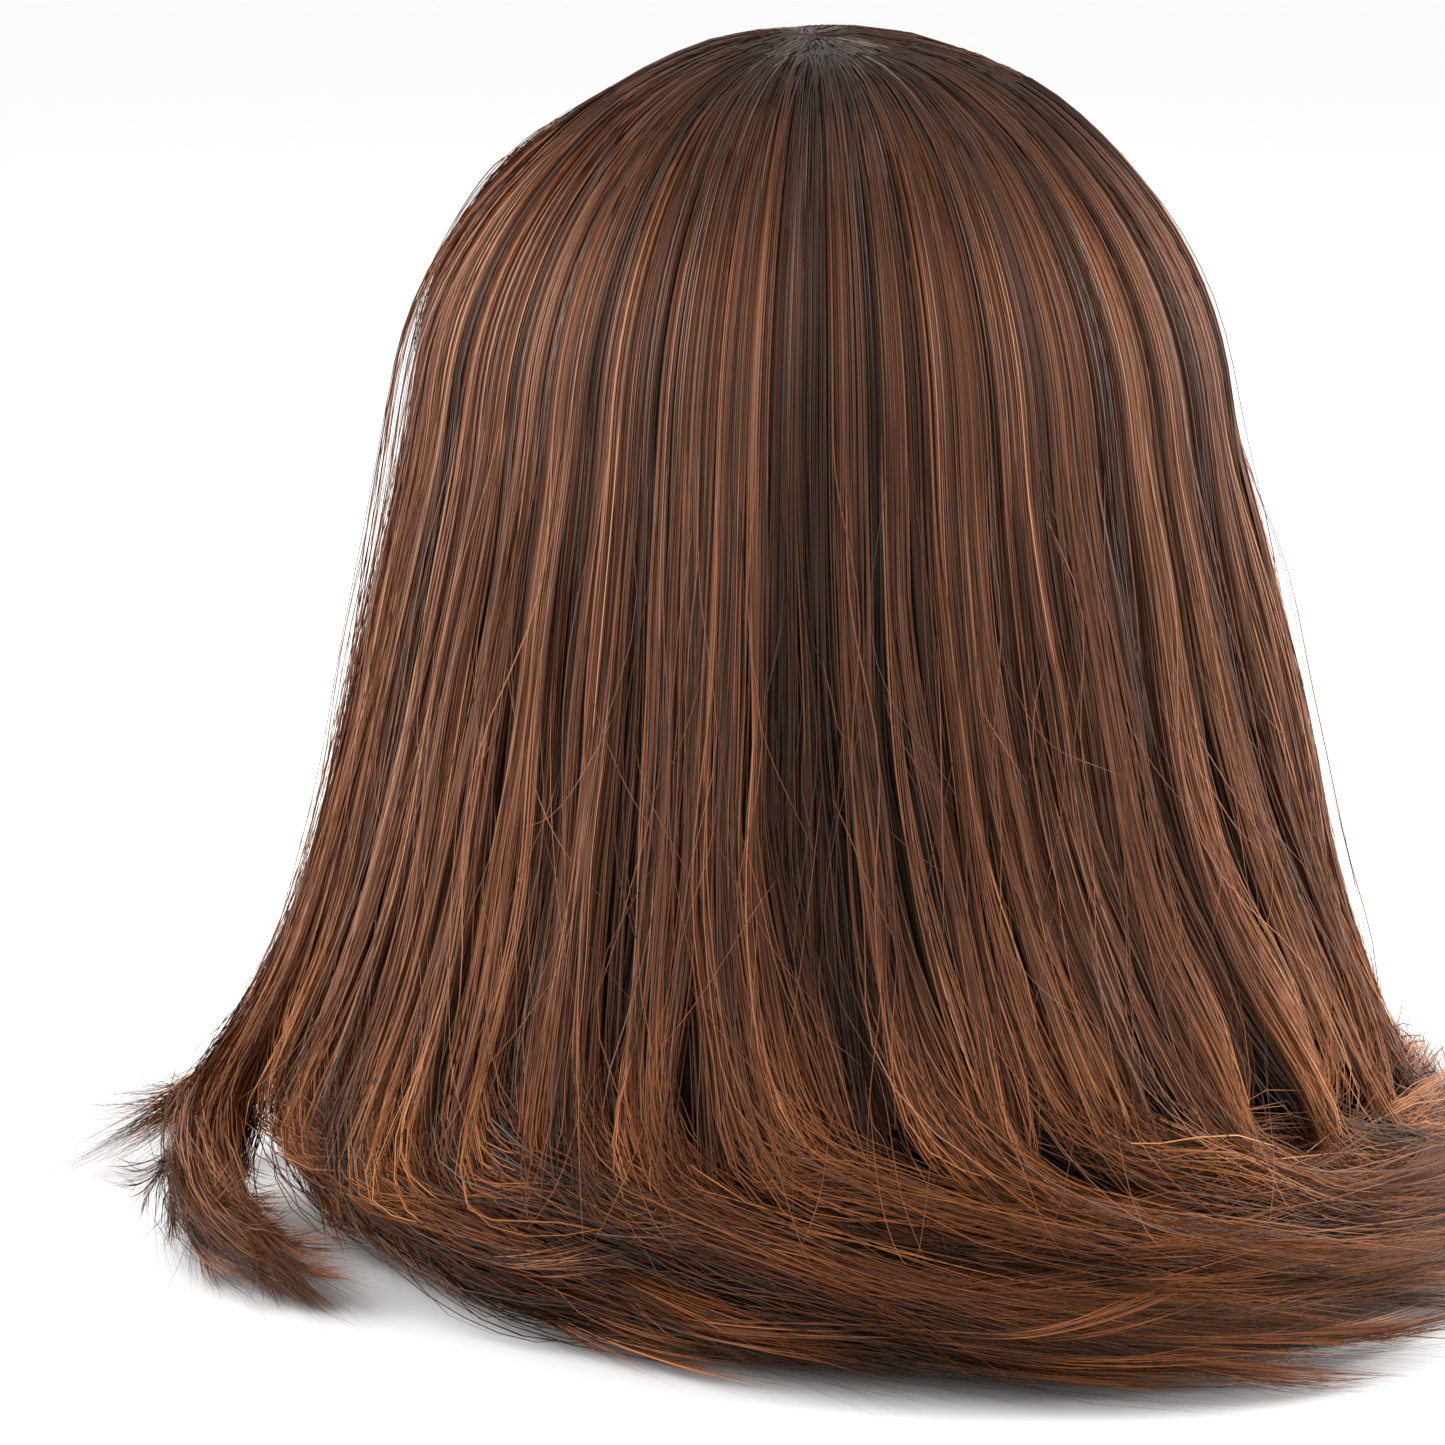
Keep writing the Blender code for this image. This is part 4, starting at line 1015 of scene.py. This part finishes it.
def grained_material(name, low, high, scale, roughness, strength, metallic=0.0, stretch=(1, 1, 1)):
    """Two tones mixed by noise, with bumps of the same grain."""
    mat, nodes, links, shader = new_material(name, {"Roughness": roughness, "Metallic": metallic})
    place = nodes.new("ShaderNodeTexCoord")
    spread = new_node(nodes, "Mapping", {"Scale": stretch})
    grain = new_node(nodes, "TexNoise", {"Scale": scale, "Detail": 6.0})
    ramp = colour_ramp(nodes, ((0.35, low), (0.68, high)))
    bump = new_node(nodes, "Bump", {"Strength": strength, "Distance": 0.0004})
    links.new(place.outputs["Object"], spread.inputs["Vector"])
    links.new(spread.outputs["Vector"], grain.inputs["Vector"])
    links.new(grain.outputs["Fac"], ramp.inputs["Fac"])
    links.new(ramp.outputs["Color"], shader.inputs["Base Color"])
    links.new(grain.outputs["Fac"], bump.inputs["Height"])
    links.new(bump.outputs["Normal"], shader.inputs["Normal"])
    return mat


def paint_frame():
    """Better materials on the CAD nodes that stay."""
    looks = {
        "foam_core": grained_material(
            "foam", (0.66, 0.57, 0.36), (0.80, 0.73, 0.52), 260, 0.95, 0.8),
        "root_binder": grained_material(
            "root_binder", (0.40, 0.25, 0.19), (0.55, 0.38, 0.30), 180, 0.6, 0.4),
        "neck_socket": grained_material(
            "socket_plastic", (0.018, 0.018, 0.020), (0.034, 0.034, 0.036), 500, 0.42, 0.3),
        "base_disc": grained_material(
            "base_plastic", (0.020, 0.020, 0.022), (0.040, 0.040, 0.042), 700, 0.55, 0.6),
    }
    steel = grained_material("brushed_steel", (0.50, 0.50, 0.52), (0.66, 0.66, 0.68), 900, 0.32,
                             0.2, metallic=1.0, stretch=(1, 14, 1))
    for name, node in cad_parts.items():
        look = steel if name.startswith("base_screw") else looks.get(name)
        if look is not None:
            for slot in node.material_slots:
                slot.material = look


# The photo's camera and the studio round it
AZIMUTH = math.radians(150)
ELEVATION = math.radians(12)
DISTANCE = 1.0
SENSOR_MM = 36.0
PHOTO_MM = 0.2256 * 1445  # what the photo shows across, at the object
MARGIN = 1.03
TO_RIGHT = Vector((math.cos(AZIMUTH), math.sin(AZIMUTH), 0))
TO_CAMERA = Vector((math.sin(AZIMUTH), -math.cos(AZIMUTH), 0))
UPWARDS = Vector((0, 0, 1))
FLOOR_HALF = 6.0


def make_camera():
    data = bpy.data.cameras.new("camera")
    camera = add_object("camera", data)
    data.sensor_width = SENSOR_MM
    data.lens = SENSOR_MM * DISTANCE * 1000 / (PHOTO_MM * MARGIN)
    across = math.cos(ELEVATION)
    back = Vector((math.sin(AZIMUTH) * across, -math.cos(AZIMUTH) * across, math.sin(ELEVATION)))
    aim = TO_RIGHT * (-0.021) + back.cross(TO_RIGHT) * 0.1075
    camera.location = aim + back * DISTANCE
    camera.rotation_euler = back.to_track_quat("Z", "Y").to_euler()
    bpy.context.scene.camera = camera


def area_light(name, location, target_z, size, power):
    """A white rectangle that faces a point on the object's axis."""
    data = bpy.data.lights.new(name, "AREA")
    data.shape = "RECTANGLE"
    data.size, data.size_y = size
    data.energy = power
    light = add_object(name, data)
    light.location = location
    light.rotation_euler = (location - Vector((0, 0, target_z))).to_track_quat("Z", "Y").to_euler()


def make_studio():
    s = FLOOR_HALF
    mesh = bpy.data.meshes.new("floor")
    mesh.from_pydata([(-s, -s, 0), (s, -s, 0), (s, s, 0), (-s, s, 0)], [], [(0, 1, 2, 3)])
    floor = add_object("floor", mesh)
    mat, nodes, links, shader = new_material("floor", {"Roughness": 0.8})
    place = nodes.new("ShaderNodeTexCoord")
    length = nodes.new("ShaderNodeVectorMath")
    length.operation = "LENGTH"
    # Painted shade on the floor: darker near the object, paler further out.
    ramp = colour_ramp(nodes, ((0.1, (0.79, 0.79, 0.79)), (0.9, (0.96, 0.96, 0.96))))
    links.new(place.outputs["Object"], length.inputs[0])
    links.new(length.outputs["Value"], ramp.inputs["Fac"])
    links.new(ramp.outputs["Color"], shader.inputs["Base Color"])
    mesh.materials.append(mat)
    world = bpy.data.worlds.new("studio")
    bpy.context.scene.world = world
    bpy.context.scene.view_settings.view_transform = "Standard"
    world.use_nodes = True
    sky = world.node_tree.nodes["Background"]
    sky.inputs["Color"].default_value = (1, 1, 1, 1)
    sky.inputs["Strength"].default_value = 1.0
    area_light("left", TO_RIGHT * -1.2 - TO_CAMERA * 0.1 + UPWARDS * 0.75, 0.17, (0.8, 0.9), 20)
    area_light("right", TO_RIGHT * 1.2 - TO_CAMERA * 0.1 + UPWARDS * 0.8, 0.17, (0.8, 0.9), 22)
    area_light("key", TO_CAMERA * 1.0 - TO_RIGHT * 0.6 + UPWARDS * 1.1, 0.15, (0.9, 0.9), 6)


make_camera()
make_studio()
hair_look = hair_material("hair")
make_long_hair(hair_look, per_degree=74)
make_tufts(hair_look, tufts=380, per_tuft=22)
make_strays(hair_look, total=240)
under = make_under_layer(hair_look)
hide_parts("hair_nape_left", "hair_nape_centre", "hair_nape_right")
make_fringe_and_top(hair_look, total=3900)
skin = make_skin()
make_brows(skin, dark_hair_material("brow_hair", (0.035, 0.018, 0.011)))
painted = eye_material()
lash_look = dark_hair_material("lash_hair", (0.012, 0.008, 0.007))
for side, word in SIDES:
    make_eye(side, word, painted)
    make_lashes(side, word, lash_look)
paint_frame()
